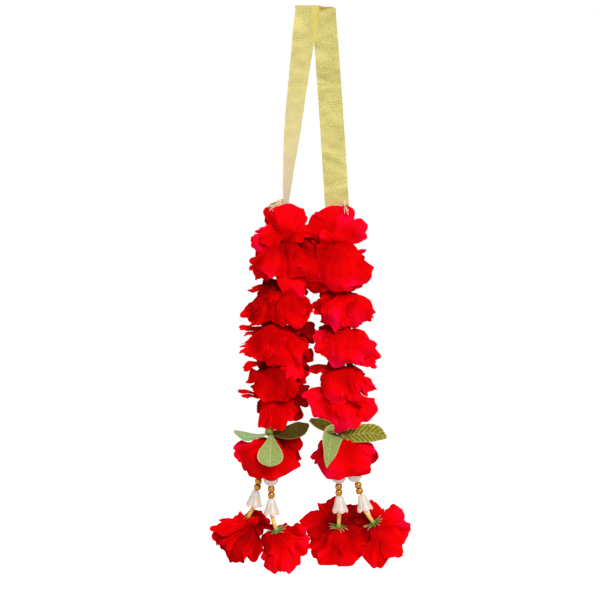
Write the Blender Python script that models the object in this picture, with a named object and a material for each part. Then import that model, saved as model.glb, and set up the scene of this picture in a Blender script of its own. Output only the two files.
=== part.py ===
"""Flower garland: a ribbon loop with two hanging strands of cloth blooms, and two beaded tassels on each.

Metres, +Z up, -Y towards the viewer. The origin is the underside of the ribbon's top fold, where it
bears on whatever it hangs from. Sizes below are in millimetres and become metres in mesh_object.
"""

import math
from collections import namedtuple

import bmesh
import bpy
import numpy as np
from mathutils import Vector

MM = 0.001
FIT = 0.35  # clearance between two pieces that touch

# Ribbon: a flat band over a soft fold, the front leg to the left and the back leg to the right.
RIBBON_WIDTH = 25.0
RIBBON_THICKNESS = 0.6
FOLD_HALF_DEPTH = 8.0
FOLD_SQUARENESS = 4.5  # exponent of the fold's superellipse
RIBBON_END = -206.6
LEFT_LEG_TOP_X = -9.2
RIGHT_LEG_TOP_X = 8.3
LEFT_LEG_TWIST = math.radians(72)

# Strands: one straight thread each, leaning outwards.
THREAD_RADIUS = 0.8
THREAD_TOP = RIBBON_END - FIT
THREAD_BOTTOM = -479.0
BORE_RADIUS = THREAD_RADIUS + FIT + 0.1
POCKET_RADIUS = 6.4  # shallow pocket round the thread, above and below each bloom
POCKET_DEPTH = 3.0
CALYX_RADIUS = 5.6
COLLAR_TOP = -441.6  # the leaf spray's collar, under the lowest bloom
COLLAR_HEIGHT = 8.0
LEAF_HALF_THICKNESS = 0.6

# Tassels, measured down each tassel's own line from the top of its bud cap.
TASSEL_THREAD_RADIUS = 0.6
TASSEL_BORE = TASSEL_THREAD_RADIUS + FIT + 0.1
BUD_CAP_LENGTH = 8.0
BEAD_DIAMETER = 7.2
BEAD_LENGTH = 6.0
BELL_LENGTH = 18.3
BELL_RADIUS = 8.4
BELL_CUP = 5.5  # depth of the hollow under the bell, which takes the stem's top
STEM_RADIUS = 2.3
STEM_BORE = 1.45
CALYX_DEPTH = 3.4
TASSEL_SEPALS = 10

BLOOM_STEPS = 18
SKIRT_STEPS = 20
SMALL_STEPS = 12

Strand = namedtuple("Strand", "side top_x bottom_x blooms")
Bloom = namedtuple("Bloom", "top bottom left right depth lobes phase profile")
Tassel = namedtuple("Tassel", "name knot top foot stem_foot settle bloom")
Head = namedtuple("Head", "axis left right up down cup lobes phase")

# Bloom sections from the upper pocket round the rim to the lower pocket: share of reach, share of height.
FULL = ((0.55, 0.03), (0.86, 0.20), (1.0, 0.44), (0.93, 0.70), (0.62, 0.93))
FLARED = ((0.6, 0.04), (0.95, 0.15), (1.0, 0.28), (0.84, 0.42), (0.82, 0.72), (0.62, 0.95))

# Hanging bloom's section from its seat over the back of the petals to their inside: share of reach,
# share of cup depth.
HEAD_SECTION = (
    (0.10, 0.0),
    (0.45, 0.16),
    (0.82, 0.52),
    (1.0, 0.86),
    (0.96, 1.05),
    (0.72, 0.98),
    (0.40, 0.80),
    (0.12, 0.72),
)

LEFT_BLOOMS = (
    Bloom(-208.0, -244.0, 28, 21, 27, 5, 0.4, FULL),
    Bloom(-247.5, -289.5, 33, 25, 30, 6, 1.1, FULL),
    Bloom(-293.0, -332.0, 36, 28, 32, 7, 0.2, FULL),
    Bloom(-335.5, -373.0, 38, 31, 33, 6, 2.3, FULL),
    Bloom(-376.5, -440.5, 36, 29, 32, 6, 0.9, FLARED),
)
RIGHT_BLOOMS = (
    Bloom(-208.0, -254.0, 25, 28, 28, 5, 1.8, FULL),
    Bloom(-257.5, -297.0, 26, 32, 31, 6, 0.3, FULL),
    Bloom(-300.5, -336.0, 24, 32, 32, 7, 1.4, FULL),
    Bloom(-339.5, -372.5, 27, 34, 33, 6, 0.6, FULL),
    Bloom(-376.0, -439.0, 30, 31, 32, 6, 2.0, FLARED),
)
STRANDS = (
    Strand("left", -31.5, -47.0, LEFT_BLOOMS),
    Strand("right", 22.0, 31.0, RIGHT_BLOOMS),
)

# Skirt blooms: an umbrella of petals over the tassels' tops.
SKIRT_TOP = -451.5
SKIRT_CEILING = -476.0
SKIRT_RIM = -481.0
SKIRT_SKIRTING = 11.0  # how much lower the petals hang in front and behind than at the sides
SKIRT_DEPTH = 29.0
SKIRT_REACH = {"left": (39, 32), "right": (36, 33)}  # petals' reach to the left and to the right

Leaf = namedtuple("Leaf", "path widths face")

# Leaf sprays: the knob, then each leaf's middle line from the knob with its half-widths, and the
# direction that its upper side faces.
SPRAYS = {
    "left": (
        (-41.5, -8.5, -445.0),
        (
            Leaf(
                ((-50, -10, -446.5), (-62, -11, -446), (-74, -12, -444), (-85, -12, -441)),
                (1.2, 2.6, 5.2, 4.2, 0.5),
                (0, -0.4, 1),
            ),
            Leaf(
                (
                    (-42, -20, -446.5),
                    (-43.5, -31, -451),
                    (-46, -38, -462),
                    (-47.3, -40.5, -473),
                    (-47.8, -40.5, -480),
                ),
                (1.5, 4.0, 8.5, 12.5, 11, 1.0),
                (0, -1, 0.3),
            ),
            Leaf(
                ((-33, -14, -445.5), (-24, -19, -445), (-14, -21, -442), (-7.5, -22, -439.5)),
                (1.5, 5.0, 7.5, 6.0, 0.5),
                (0, -0.9, 0.4),
            ),
        ),
    ),
    "right": (
        (26.5, -8.5, -447.0),
        (
            Leaf(
                ((18, -14, -444), (10, -19, -442), (4, -20, -439), (-1.5, -20, -436)),
                (1.2, 3.5, 5.0, 4.5, 0.5),
                (0, -0.8, 0.6),
            ),
            Leaf(
                ((22, -20, -450), (16, -31, -454), (12.5, -36.5, -462), (10.5, -38, -471), (9, -38, -477)),
                (1.5, 4.0, 8.0, 7.0, 4.0, 0.5),
                (0, -1, 0.2),
            ),
            Leaf(
                ((38, -11, -447), (50, -13, -446), (62, -14, -447.5), (72.5, -14, -449)),
                (1.5, 6.0, 8.5, 7.5, 0.8),
                (0, -0.7, 0.7),
            ),
        ),
    ),
}

TASSELS = (
    Tassel(
        "left_outer",
        (-48.7, 0.3, -478.0),
        (-58.5, 4.0, -484.0),
        (-64.0, 4.0, -521.0),
        (-71.0, 7.5, -533.5),
        4.4,
        Head((0.45, 0.55, 0.70), 36, 24, 27, 33, 20, 6, 0.5),
    ),
    Tassel(
        "left_inner",
        (-47.0, -1.9, -478.0),
        (-46.6, -4.5, -491.0),
        (-46.3, -5.5, -530.5),
        (-42.0, -1.0, -544.5),
        1.1,
        Head((-0.25, -0.75, 0.62), 17, 26, 8, 44, 12, 5, 1.6),
    ),
    Tassel(
        "right_inner",
        (29.2, -0.6, -478.0),
        (23.4, -3.0, -488.5),
        (24.4, -5.0, -527.0),
        (23.8, 3.5, -540.5),
        3.2,
        Head((0.0, -0.86, 0.50), 38, 25, 34, 42, 14, 6, 0.0),
    ),
    Tassel(
        "right_outer",
        (32.8, -0.6, -478.0),
        (41.5, -2.0, -487.5),
        (50.2, -4.0, -525.5),
        (59.0, 3.0, -537.0),
        4.2,
        Head((0.1, -0.86, 0.50), 8, 46, 22, 42, 14, 5, 2.2),
    ),
)

RED = (0.68, 0.005, 0.012)
GREEN = (0.17, 0.25, 0.04)
GOLD_CLOTH = (0.72, 0.62, 0.22)
GOLD_BEAD = (0.42, 0.17, 0.04)
WHITE = (0.84, 0.76, 0.72)
YELLOW = (0.72, 0.40, 0.06)
THREAD_WHITE = (0.75, 0.70, 0.65)


def clear_scene():
    for obj in list(bpy.data.objects):
        bpy.data.objects.remove(obj, do_unlink=True)


def material(name, colour, roughness, metallic=0.0):
    made = bpy.data.materials.new(name)
    made.use_nodes = True
    shader = made.node_tree.nodes["Principled BSDF"]
    shader.inputs["Base Color"].default_value = (*colour, 1.0)
    shader.inputs["Roughness"].default_value = roughness
    shader.inputs["Metallic"].default_value = metallic
    return made


def mesh_object(name, loops, finish, ring):
    """An object from loops of points, each loop joined to the next. A ring joins the last loop to the
    first, as on a torus; otherwise the two end loops are filled."""
    count, steps, _ = loops.shape
    shape = bmesh.new()
    rows = [[shape.verts.new(point * MM) for point in loop] for loop in loops]
    for i in range(count if ring else count - 1):
        here, after = rows[i], rows[(i + 1) % count]
        for j in range(steps):
            k = (j + 1) % steps
            shape.faces.new((here[j], here[k], after[k], after[j]))
    if not ring:
        shape.faces.new(rows[0])
        shape.faces.new(rows[-1])
    bmesh.ops.triangulate(shape, faces=shape.faces[:])
    bmesh.ops.recalc_face_normals(shape, faces=shape.faces[:])
    mesh = bpy.data.meshes.new(name)
    shape.to_mesh(mesh)
    shape.free()
    mesh.materials.append(finish)
    mesh.shade_smooth()
    mesh.set_sharp_from_angle(angle=math.radians(40))
    obj = bpy.data.objects.new(name, mesh)
    bpy.context.scene.collection.objects.link(obj)
    return obj


def turned(profile, steps, spread=None):
    """Loops round Z from (radius, height) points. spread(azimuth, radius, height) may change a point."""
    azimuth = np.linspace(0, 2 * math.pi, steps, endpoint=False)
    loops = []
    for radius, height in profile:
        r, z = np.full(steps, float(radius)), np.full(steps, float(height))
        if spread:
            r, z = spread(azimuth, r, z)
        loops.append(np.stack([r * np.cos(azimuth), r * np.sin(azimuth), z], axis=1))
    return np.array(loops)


def stand_on(obj, point, direction):
    """Moves an object so that its -Z runs from point along direction."""
    obj.location = Vector(point) * MM
    obj.rotation_euler = Vector(direction).to_track_quat("-Z", "Y").to_euler()


def rod(name, points, radius, finish):
    """A round thread along points, as a curve with filled ends."""
    curve = bpy.data.curves.new(name, "CURVE")
    curve.dimensions = "3D"
    curve.bevel_depth = radius * MM
    curve.bevel_resolution = 2
    curve.use_fill_caps = True
    spline = curve.splines.new("POLY")
    spline.points.add(len(points) - 1)
    for target, point in zip(spline.points, points):
        target.co = (*(Vector(point) * MM), 1.0)
    curve.materials.append(finish)
    obj = bpy.data.objects.new(name, curve)
    bpy.context.scene.collection.objects.link(obj)
    return obj


def smooth_step(t):
    return t * t * (3 - 2 * t)


def ribbon_stations():
    """(centre, width direction, thickness direction) down the front leg's end, over the fold and to
    the back leg's end."""
    stations = []
    leg = np.linspace(0, 1, 15)
    left_foot_x = STRANDS[0].top_x
    right_foot_x = STRANDS[1].top_x
    for t in leg[::-1]:
        twist = LEFT_LEG_TWIST * t**1.5
        x = LEFT_LEG_TOP_X + (left_foot_x - LEFT_LEG_TOP_X) * (1 - (1 - t) ** 1.25)
        y = -FOLD_HALF_DEPTH * (1 - smooth_step(t))
        z = -FOLD_HALF_DEPTH + (RIBBON_END + FOLD_HALF_DEPTH) * t
        width = Vector((math.cos(twist), math.sin(twist), 0))
        stations.append((Vector((x, y, z)), width, width.cross(Vector((0, 0, 1)))))
    power = 2 / FOLD_SQUARENESS
    for angle in np.linspace(0, math.pi, 13)[1:-1]:
        c, s = math.cos(angle), math.sin(angle)
        y = -FOLD_HALF_DEPTH * math.copysign(abs(c) ** power, c)
        z = -FOLD_HALF_DEPTH * (1 - s**power)
        share = (y + FOLD_HALF_DEPTH) / (2 * FOLD_HALF_DEPTH)
        x = LEFT_LEG_TOP_X + (RIGHT_LEG_TOP_X - LEFT_LEG_TOP_X) * share
        outward = Vector((0, -math.copysign(abs(c) ** 1.5, c), s**1.5)).normalized()
        stations.append((Vector((x, y, z)), Vector((1, 0, 0)), outward))
    for t in leg:
        x = RIGHT_LEG_TOP_X + (right_foot_x - RIGHT_LEG_TOP_X) * t**0.9
        y = FOLD_HALF_DEPTH * (1 - smooth_step(t))
        z = -FOLD_HALF_DEPTH + (RIBBON_END + FOLD_HALF_DEPTH) * t
        stations.append((Vector((x, y, z)), Vector((1, 0, 0)), Vector((0, 1, 0))))
    return stations


def make_ribbon(finish):
    """A thin rectangular section carried along the stations, its inner face on the path."""
    half = RIBBON_WIDTH / 2
    loops = []
    for centre, width, outward in ribbon_stations():
        skin = outward * RIBBON_THICKNESS
        corners = (centre - width * half, centre + width * half)
        loops.append([corners[0], corners[1], corners[1] + skin, corners[0] + skin])
    mesh_object("ribbon", np.array(loops), finish, ring=False)


def strand_direction(strand):
    return Vector((strand.bottom_x - strand.top_x, 0, THREAD_BOTTOM - THREAD_TOP)).normalized()


def on_strand(obj, strand):
    """Hangs an object, made round Z with its heights from the thread's top, on a strand."""
    stand_on(obj, (strand.top_x, 0, THREAD_TOP), strand_direction(strand))


def petal_spread(left, right, depth, lobes, phase, wave):
    """Stretches a round section to the reaches on each side, scallops its rim into petals and lets
    the rim rise and fall. The radius coming in is a share of the reach, or millimetres in the middle."""

    def spread(azimuth, r, z):
        across = np.where(np.cos(azimuth) > 0, right, left)
        reach = 1 / np.sqrt((np.cos(azimuth) / across) ** 2 + (np.sin(azimuth) / depth) ** 2)
        reach *= 1 + 0.05 * np.cos(lobes * azimuth + phase)
        petal = r <= 1.0
        share = np.where(petal, r, 0.0)
        ripple = wave * share**2 * np.cos((lobes - 1) * azimuth + 2 * phase)
        return np.where(petal, r * reach, np.minimum(r, 0.45 * reach)), z + ripple

    return spread


def make_bloom(name, bloom, strand, finish):
    top, height = bloom.top - THREAD_TOP, bloom.bottom - bloom.top
    floor, roof = top - POCKET_DEPTH, top + height + POCKET_DEPTH
    profile = [(BORE_RADIUS, floor), (POCKET_RADIUS, floor)]
    profile += [(share, top + height * down) for share, down in bloom.profile]
    profile += [(POCKET_RADIUS, roof), (BORE_RADIUS, roof)]
    spread = petal_spread(bloom.left, bloom.right, bloom.depth, bloom.lobes, bloom.phase, 2.0)
    obj = mesh_object(name, turned(profile, BLOOM_STEPS, spread), finish, ring=True)
    on_strand(obj, strand)


def sepal_spread(points, depth):
    """Cuts a wide rim into sepals: the radius swings by depth where it is past the calyx's tube."""

    def spread(azimuth, r, z):
        swing = 1 - depth * 0.5 * (1 + np.cos(points * azimuth))
        return np.where(r > 4.0, r * swing, r), z

    return spread


def make_calyx(name, above, below, strand, finish):
    """A small green cup on the thread, from the pocket over it to the pocket under it."""
    top, bottom = above - THREAD_TOP - FIT, below - THREAD_TOP + FIT
    profile = (
        (BORE_RADIUS, top),
        (2.6, top),
        (3.2, bottom + 0.55 * (top - bottom)),
        (CALYX_RADIUS, bottom + 1.2),
        (CALYX_RADIUS, bottom),
        (BORE_RADIUS, bottom),
    )
    loops = turned(profile, SMALL_STEPS, sepal_spread(6, 0.25))
    on_strand(mesh_object(name, loops, finish, ring=True), strand)


def make_skirt(strand, finish):
    """An umbrella of petals on the thread, hollow below, which hangs lower in front and behind."""
    left, right = SKIRT_REACH[strand.side]
    top, ceiling, rim = (z - THREAD_TOP for z in (SKIRT_TOP, SKIRT_CEILING, SKIRT_RIM))
    stretch = petal_spread(left, right, SKIRT_DEPTH, 5, 0.8, 1.2)

    def spread(azimuth, r, z):
        hem = np.clip((top - 12 - z) / (top - 12 - rim), 0, 1) * (r <= 1.0)
        return stretch(azimuth, r, z - SKIRT_SKIRTING * hem * np.sin(azimuth) ** 2)

    profile = (
        (BORE_RADIUS, top),
        (POCKET_RADIUS, top),
        (0.55, top - 1),
        (0.9, top - 7),
        (1.0, top - 17),
        (0.93, rim),
        (0.80, rim),
        (0.72, ceiling),
        (BORE_RADIUS, ceiling),
    )
    name = f"skirt_bloom_{strand.side}"
    on_strand(mesh_object(name, turned(profile, SKIRT_STEPS, spread), finish, ring=True), strand)


def leaf_loops(points, widths, face):
    """Lens-shaped sections, thin at both edges, along points. face is the side the leaf shows."""
    path = [Vector(p) for p in points]
    loops = []
    for i, centre in enumerate(path):
        along = (path[min(i + 1, len(path) - 1)] - path[max(i - 1, 0)]).normalized()
        side = along.cross(Vector(face)).normalized()
        up = side.cross(along).normalized() * LEAF_HALF_THICKNESS
        edge = side * widths[i]
        front = [centre + edge, centre + edge / 2 + up, centre - edge / 2 + up]
        back = [centre - edge, centre - edge / 2 - up, centre + edge / 2 - up]
        loops.append(front + back)
    return np.array(loops)


def make_leaf_spray(strand, finish):
    """A green collar on the thread with a knob in front, and three leaves that grow from the knob."""
    knob, leaves = SPRAYS[strand.side]
    top = COLLAR_TOP - THREAD_TOP
    foot = top - COLLAR_HEIGHT
    collar = ((BORE_RADIUS, top), (4.4, top), (5.2, top - 3.5), (4.4, foot), (BORE_RADIUS, foot))
    spray = mesh_object(f"leaf_spray_{strand.side}", turned(collar, SMALL_STEPS), finish, ring=True)
    on_strand(spray, strand)
    helpers = [mesh_object(f"{spray.name}_knob", knob_loops(strand, knob), finish, ring=False)]
    for i, leaf in enumerate(leaves):
        loops = leaf_loops([knob, *leaf.path], leaf.widths, leaf.face)
        helpers.append(mesh_object(f"{spray.name}_leaf_{i}", loops, finish, ring=False))
    for helper in helpers:
        helper.hide_render = True
        helper.display_type = "WIRE"
        join = spray.modifiers.new(helper.name, "BOOLEAN")
        join.operation = "UNION"
        join.solver = "EXACT"
        join.object = helper


def knob_loops(strand, knob):
    """A tapered peg from inside the collar's wall to a round knob where the leaves meet."""
    heart = Vector((strand_x(strand, knob[2]), 0, knob[2]))
    out = (Vector(knob) - heart).normalized()
    side = out.cross(Vector((0, 0, 1))).normalized()
    up = side.cross(out)
    reach = (Vector(knob) - heart).length
    loops = []
    outline = ((2.6, 2.0), (reach - 3.0, 2.4), (reach - 0.5, 3.9), (reach + 2.2, 3.0), (reach + 3.4, 1.2))
    for along, radius in outline:
        centre = heart + out * along
        turn = [2 * math.pi * k / 10 for k in range(10)]
        loops.append([centre + (side * math.cos(a) + up * math.sin(a)) * radius for a in turn])
    return np.array(loops)


def strand_x(strand, z):
    share = (z - THREAD_TOP) / (THREAD_BOTTOM - THREAD_TOP)
    return strand.top_x + (strand.bottom_x - strand.top_x) * share


def make_strand(strand, finishes):
    side = strand.side
    ends = [(strand_x(strand, z), 0, z) for z in (THREAD_TOP, THREAD_BOTTOM)]
    rod(f"strand_thread_{side}", ends, THREAD_RADIUS, finishes["thread"])
    above = RIBBON_END - 0.9
    for i, bloom in enumerate(strand.blooms, 1):
        make_bloom(f"bloom_{side}_{i}", bloom, strand, finishes["bloom"])
        make_calyx(f"calyx_{side}_{i}", above, bloom.top - POCKET_DEPTH, strand, finishes["calyx"])
        above = bloom.bottom + POCKET_DEPTH
    make_skirt(strand, finishes["bloom"])


def make_bell(name, point, direction, length, flip, finish):
    """A lobed bell with a bore, hollow at its wide end. flip turns the wide end up."""
    cup = BELL_CUP if not flip else 2.0
    profile = [
        (TASSEL_BORE, 0.0),
        (2.4, 0.0),
        (3.3, -0.22 * length),
        (0.66 * BELL_RADIUS, -0.62 * length),
        (BELL_RADIUS, -0.93 * length),
        (0.9 * BELL_RADIUS, -length),
        (0.62 * BELL_RADIUS, cup - length),
        (TASSEL_BORE, cup - length),
    ]
    if flip:
        profile = [(r, -length - z) for r, z in profile]

    def lobes(azimuth, r, z):
        return np.where(r > 3.5, r * (1 - 0.07 * (1 - np.cos(5 * azimuth))), r), z

    stand_on(mesh_object(name, turned(profile, 15, lobes), finish, ring=True), point, direction)


def make_bead(name, point, direction, finish):
    half = BEAD_LENGTH / 2
    arc = np.radians((55, 28, 0, -28, -55))
    radius = BEAD_DIAMETER / 2
    profile = [(TASSEL_BORE, 0.0)]
    profile += [(radius * math.cos(a), -half + half * math.sin(a) / math.sin(arc[0])) for a in arc]
    profile.append((TASSEL_BORE, -BEAD_LENGTH))
    stand_on(mesh_object(name, turned(profile, SMALL_STEPS), finish, ring=True), point, direction)


def make_head(name, seat, head, finish):
    """A hanging bloom as an umbrella round head.axis: petals reach out from the seat and curl back."""
    axis = Vector(head.axis).normalized()
    across = (Vector((1, 0, 0)) - axis * axis.x).normalized()
    upward = axis.cross(across)
    steps = 20
    azimuth = np.linspace(0, 2 * math.pi, steps, endpoint=False)
    side = np.where(np.cos(azimuth) > 0, head.right, head.left)
    rise = np.where(np.sin(azimuth) > 0, head.up, head.down)
    reach = 1 / np.sqrt((np.cos(azimuth) / side) ** 2 + (np.sin(azimuth) / rise) ** 2)
    reach = reach * (1 + 0.05 * np.cos(head.lobes * azimuth + head.phase))
    ripple = 2.0 * np.cos((head.lobes - 1) * azimuth + 2 * head.phase)
    out = np.outer(np.cos(azimuth), across) + np.outer(np.sin(azimuth), upward)
    loops = []
    for share, back in HEAD_SECTION:
        sink = head.cup * back - ripple * share**2
        loops.append(np.array(seat) + out * (share * reach)[:, None] - np.array(axis) * sink[:, None])
    mesh_object(name, np.array(loops), finish, ring=False)


def make_tassel(tassel, finishes):
    name = tassel.name
    top, foot = Vector(tassel.top), Vector(tassel.foot)
    down = (foot - top).normalized()
    at = 0.0
    make_bell(f"bud_cap_{name}", top, down, BUD_CAP_LENGTH, True, finishes["bell"])
    at += BUD_CAP_LENGTH + FIT
    for label in ("upper", "lower"):
        make_bead(f"bead_{name}_{label}", top + down * at, down, finishes["bead"])
        at += BEAD_LENGTH + FIT
    make_bell(f"bell_{name}", top + down * at, down, BELL_LENGTH, False, finishes["bell"])
    at += BELL_LENGTH
    stem_top = top + down * (at - BELL_CUP + 1.6)
    stem_foot = Vector(tassel.stem_foot)
    slant = (stem_foot - stem_top).normalized()
    length = (stem_foot - stem_top).length
    wall = ((STEM_BORE, 0.0), (STEM_RADIUS, 0.0), (STEM_RADIUS * 0.85, -length), (STEM_BORE, -length))
    stem = mesh_object(f"stem_{name}", turned(wall, SMALL_STEPS), finishes["stem"], ring=True)
    stand_on(stem, stem_top, slant)
    base = -CALYX_DEPTH
    cup = ((0.7, 0.0), (2.6, 0.0), (4.4, -1.6), (8.2, -2.6), (4.2, base + 0.2), (2.6, base), (0.7, base))
    star = turned(cup, 2 * TASSEL_SEPALS, sepal_spread(TASSEL_SEPALS, 0.42))
    calyx = mesh_object(f"calyx_{name}", star, finishes["calyx"], ring=True)
    stand_on(calyx, stem_foot + slant * FIT, slant)
    points = (tassel.knot, top - down * 1.2, stem_top - down * 1.4, stem_top + slant * 7.0)
    rod(f"thread_{name}", points, TASSEL_THREAD_RADIUS, finishes["thread"])
    axis = Vector(tassel.bloom.axis).normalized()
    seat = stem_foot + slant * (CALYX_DEPTH + FIT) - axis * tassel.settle
    make_head(f"tassel_bloom_{name}", seat, tassel.bloom, finishes["bloom"])


def main():
    clear_scene()
    finishes = {
        "bloom": material("red_cloth", RED, 0.75),
        "calyx": material("green_plastic", GREEN, 0.5),
        "leaf": material("printed_leaf_cloth", GREEN, 0.6),
        "bead": material("gold_bead", GOLD_BEAD, 0.25, 0.8),
        "bell": material("white_acrylic", WHITE, 0.3),
        "stem": material("yellow_plastic", YELLOW, 0.45),
        "thread": material("cotton_thread", THREAD_WHITE, 0.8),
    }
    make_ribbon(material("gold_organza", GOLD_CLOTH, 0.45, 0.3))
    for strand in STRANDS:
        make_strand(strand, finishes)
        make_leaf_spray(strand, finishes["leaf"])
    for tassel in TASSELS:
        make_tassel(tassel, finishes)


main()
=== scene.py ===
"""Looks of the flower garland: ruffled cloth blooms, pressed leaves, gold organza and beaded tassels.

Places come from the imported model's boxes, and the leaves' own paths are written out. The garland's
lengths are in millimetres and become metres when a mesh is made; the studio's are in metres.
"""

import math
from collections import namedtuple

import bpy
import numpy as np
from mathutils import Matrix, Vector


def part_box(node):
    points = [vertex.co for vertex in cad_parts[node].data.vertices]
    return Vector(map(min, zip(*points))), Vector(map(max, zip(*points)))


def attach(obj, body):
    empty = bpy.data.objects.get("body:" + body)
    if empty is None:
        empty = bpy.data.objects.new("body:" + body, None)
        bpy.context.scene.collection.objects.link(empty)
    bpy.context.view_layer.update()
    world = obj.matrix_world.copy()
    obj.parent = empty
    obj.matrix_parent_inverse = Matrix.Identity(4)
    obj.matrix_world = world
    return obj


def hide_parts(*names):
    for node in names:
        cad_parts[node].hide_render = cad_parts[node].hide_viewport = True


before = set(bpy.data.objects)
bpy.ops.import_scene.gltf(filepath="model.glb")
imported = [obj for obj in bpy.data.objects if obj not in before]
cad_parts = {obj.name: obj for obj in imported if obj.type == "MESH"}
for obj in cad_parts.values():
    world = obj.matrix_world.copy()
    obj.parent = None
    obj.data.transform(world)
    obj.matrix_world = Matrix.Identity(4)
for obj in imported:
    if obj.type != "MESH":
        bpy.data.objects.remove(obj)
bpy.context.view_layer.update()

MM = 0.001
TURN = 2 * math.pi
SIDES = ("left", "right")
TASSELS = ("left_outer", "left_inner", "right_inner", "right_outer")
UP = np.array([0.0, 0.0, 1.0])


# ---------------------------------------------------------------- places from the frame


def box(node):
    """A node's lowest and highest corners in millimetres."""
    low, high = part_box(node)
    return np.array(low) / MM, np.array(high) / MM


def middle(node):
    """The middle of a node's box."""
    low, high = box(node)
    return (low + high) / 2


def unit(vectors):
    """Vectors divided by their lengths."""
    vectors = np.asarray(vectors, float)
    return vectors / np.linalg.norm(vectors, axis=-1, keepdims=True)


def walked(path):
    """The distance along a path at each of its points."""
    return np.concatenate([[0], np.cumsum(np.linalg.norm(np.diff(path, axis=0), axis=1))])


def strand_ends(side):
    """Top and bottom of a strand's thread, which leans outwards."""
    low, high = box(f"strand_thread_{side}")
    radius = (high[1] - low[1]) / 2
    x_top, x_bottom = high[0] - radius, low[0] + radius
    if side == "right":
        x_top, x_bottom = low[0] + radius, high[0] - radius
    return np.array([x_top, 0.0, high[2]]), np.array([x_bottom, 0.0, low[2]])


def on_strand(side, z):
    """The point of a strand's thread at height z."""
    top, bottom = strand_ends(side)
    return top + (bottom - top) * (z - top[2]) / (bottom[2] - top[2])


def tassel_line(name):
    """The direction down a tassel's beads."""
    return unit(middle(f"bead_{name}_lower") - middle(f"bead_{name}_upper"))


# ---------------------------------------------------------------- meshes

# Edges where faces meet at more than this many degrees look sharp.
SHARP_ANGLE = 55

# A closed surface. Its materials read lie, a point's place on the surface, and tone, a shade from 0 to 1.
Skin = namedtuple("Skin", "verts faces lie tone")


def grid_quads(index):
    """The quads between neighbouring rows and columns of a grid of vertex numbers."""
    corners = [index[:-1, :-1], index[1:, :-1], index[1:, 1:], index[:-1, 1:]]
    return np.stack(corners, axis=-1).reshape(-1, 4)


def facing(points):
    """A grid's unit normals: the cross product of its slopes down its rows and along them."""
    normal = np.cross(np.gradient(points, axis=0), np.gradient(points, axis=1))
    return normal / (np.linalg.norm(normal, axis=2, keepdims=True) + 1e-9)


def wall(points, thickness, lie, tone):
    """A closed thin wall from a grid: the grid moved half the thickness along its normals each way,
    and a rim round its border."""
    rows, cols, _ = points.shape
    count = rows * cols
    shift = facing(points) * thickness / 2
    verts = np.concatenate([(points + shift).reshape(-1, 3), (points - shift).reshape(-1, 3)])
    index = np.arange(count).reshape(rows, cols)
    front = grid_quads(index)
    border = np.concatenate([index[0], index[1:, -1], index[-1, -2::-1], index[-2:0:-1, 0]])
    after = np.roll(border, -1)
    rim = np.stack([border, after, after + count, border + count], axis=-1)
    faces = np.concatenate([front, front[:, ::-1] + count, rim])
    lie = np.tile(lie.reshape(-1, 3), (2, 1))
    tone = np.tile(np.broadcast_to(tone, (rows, cols)).reshape(-1), 2)
    return Skin(verts, faces, lie, tone)


def loft(loops, ring=False, lie=None, tone=None):
    """A closed surface over loops of points. A ring joins the last loop to the first; otherwise each
    end loop closes on its middle. Its faces are turned outwards by the sign of its volume."""
    loops = np.asarray(loops, float)
    count, steps, _ = loops.shape
    index = np.arange(count * steps).reshape(count, steps)
    index = np.concatenate([index, index[:, :1]], axis=1)
    if ring:
        index = np.concatenate([index, index[:1]])
    faces = grid_quads(index)
    verts = loops.reshape(-1, 3)
    u = np.repeat(np.linspace(0, 1, count), steps)
    v = np.tile(np.linspace(0, 1, steps, endpoint=False), count)
    lie = np.stack([v, u, np.zeros_like(u)], axis=1) if lie is None else lie.reshape(-1, 3)
    tone = u if tone is None else np.broadcast_to(tone, (count, steps)).reshape(-1)
    if not ring:
        first, last = np.full(steps, len(verts)), np.full(steps, len(verts) + 1)
        first_cap = np.stack([index[0, :-1], index[0, 1:], first, first], axis=-1)
        last_cap = np.stack([index[-1, 1:], index[-1, :-1], last, last], axis=-1)
        verts = np.concatenate([verts, [loops[0].mean(0), loops[-1].mean(0)]])
        faces = np.concatenate([faces, first_cap, last_cap])
        lie = np.concatenate([lie, lie[[0, -1]]])
        tone = np.concatenate([tone, tone[[0, -1]]])
    a, b, c, d = (verts[faces[:, k]] for k in range(4))
    volume = np.einsum("ij,ij->", a, np.cross(b, c)) + np.einsum("ij,ij->", a, np.cross(c, d))
    if volume < 0:
        faces = faces[:, ::-1]
    return Skin(verts, faces, lie, tone)


def piece(name, skins, finish, replaced):
    """One object from closed skins, in metres, which rides on the root and stands for CAD nodes."""
    starts = np.cumsum([0] + [len(s.verts) for s in skins])
    verts = np.concatenate([s.verts for s in skins]) * MM
    faces = np.concatenate([s.faces + start for s, start in zip(skins, starts)])
    corners = [tuple(dict.fromkeys(face)) for face in faces.tolist()]
    mesh = bpy.data.meshes.new(name)
    mesh.from_pydata(verts.tolist(), [], corners)
    lie = mesh.attributes.new("lie", "FLOAT_VECTOR", "POINT")
    lie.data.foreach_set("vector", np.concatenate([s.lie for s in skins]).astype(np.float32).ravel())
    tone = mesh.attributes.new("tone", "FLOAT", "POINT")
    tone.data.foreach_set("value", np.concatenate([s.tone for s in skins]).astype(np.float32))
    mesh.materials.append(finish)
    mesh.shade_smooth()
    mesh.set_sharp_from_angle(angle=math.radians(SHARP_ANGLE))
    obj = bpy.data.objects.new(name, mesh)
    bpy.context.scene.collection.objects.link(obj)
    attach(obj, "root")
    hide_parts(*replaced)
    return obj


# ---------------------------------------------------------------- materials

# Distance between a leaf's veins in mm, and how far back a vein leans for each mm out from the midrib.
VEIN_SPACING = 3.4
VEIN_SLANT = 0.9


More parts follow.
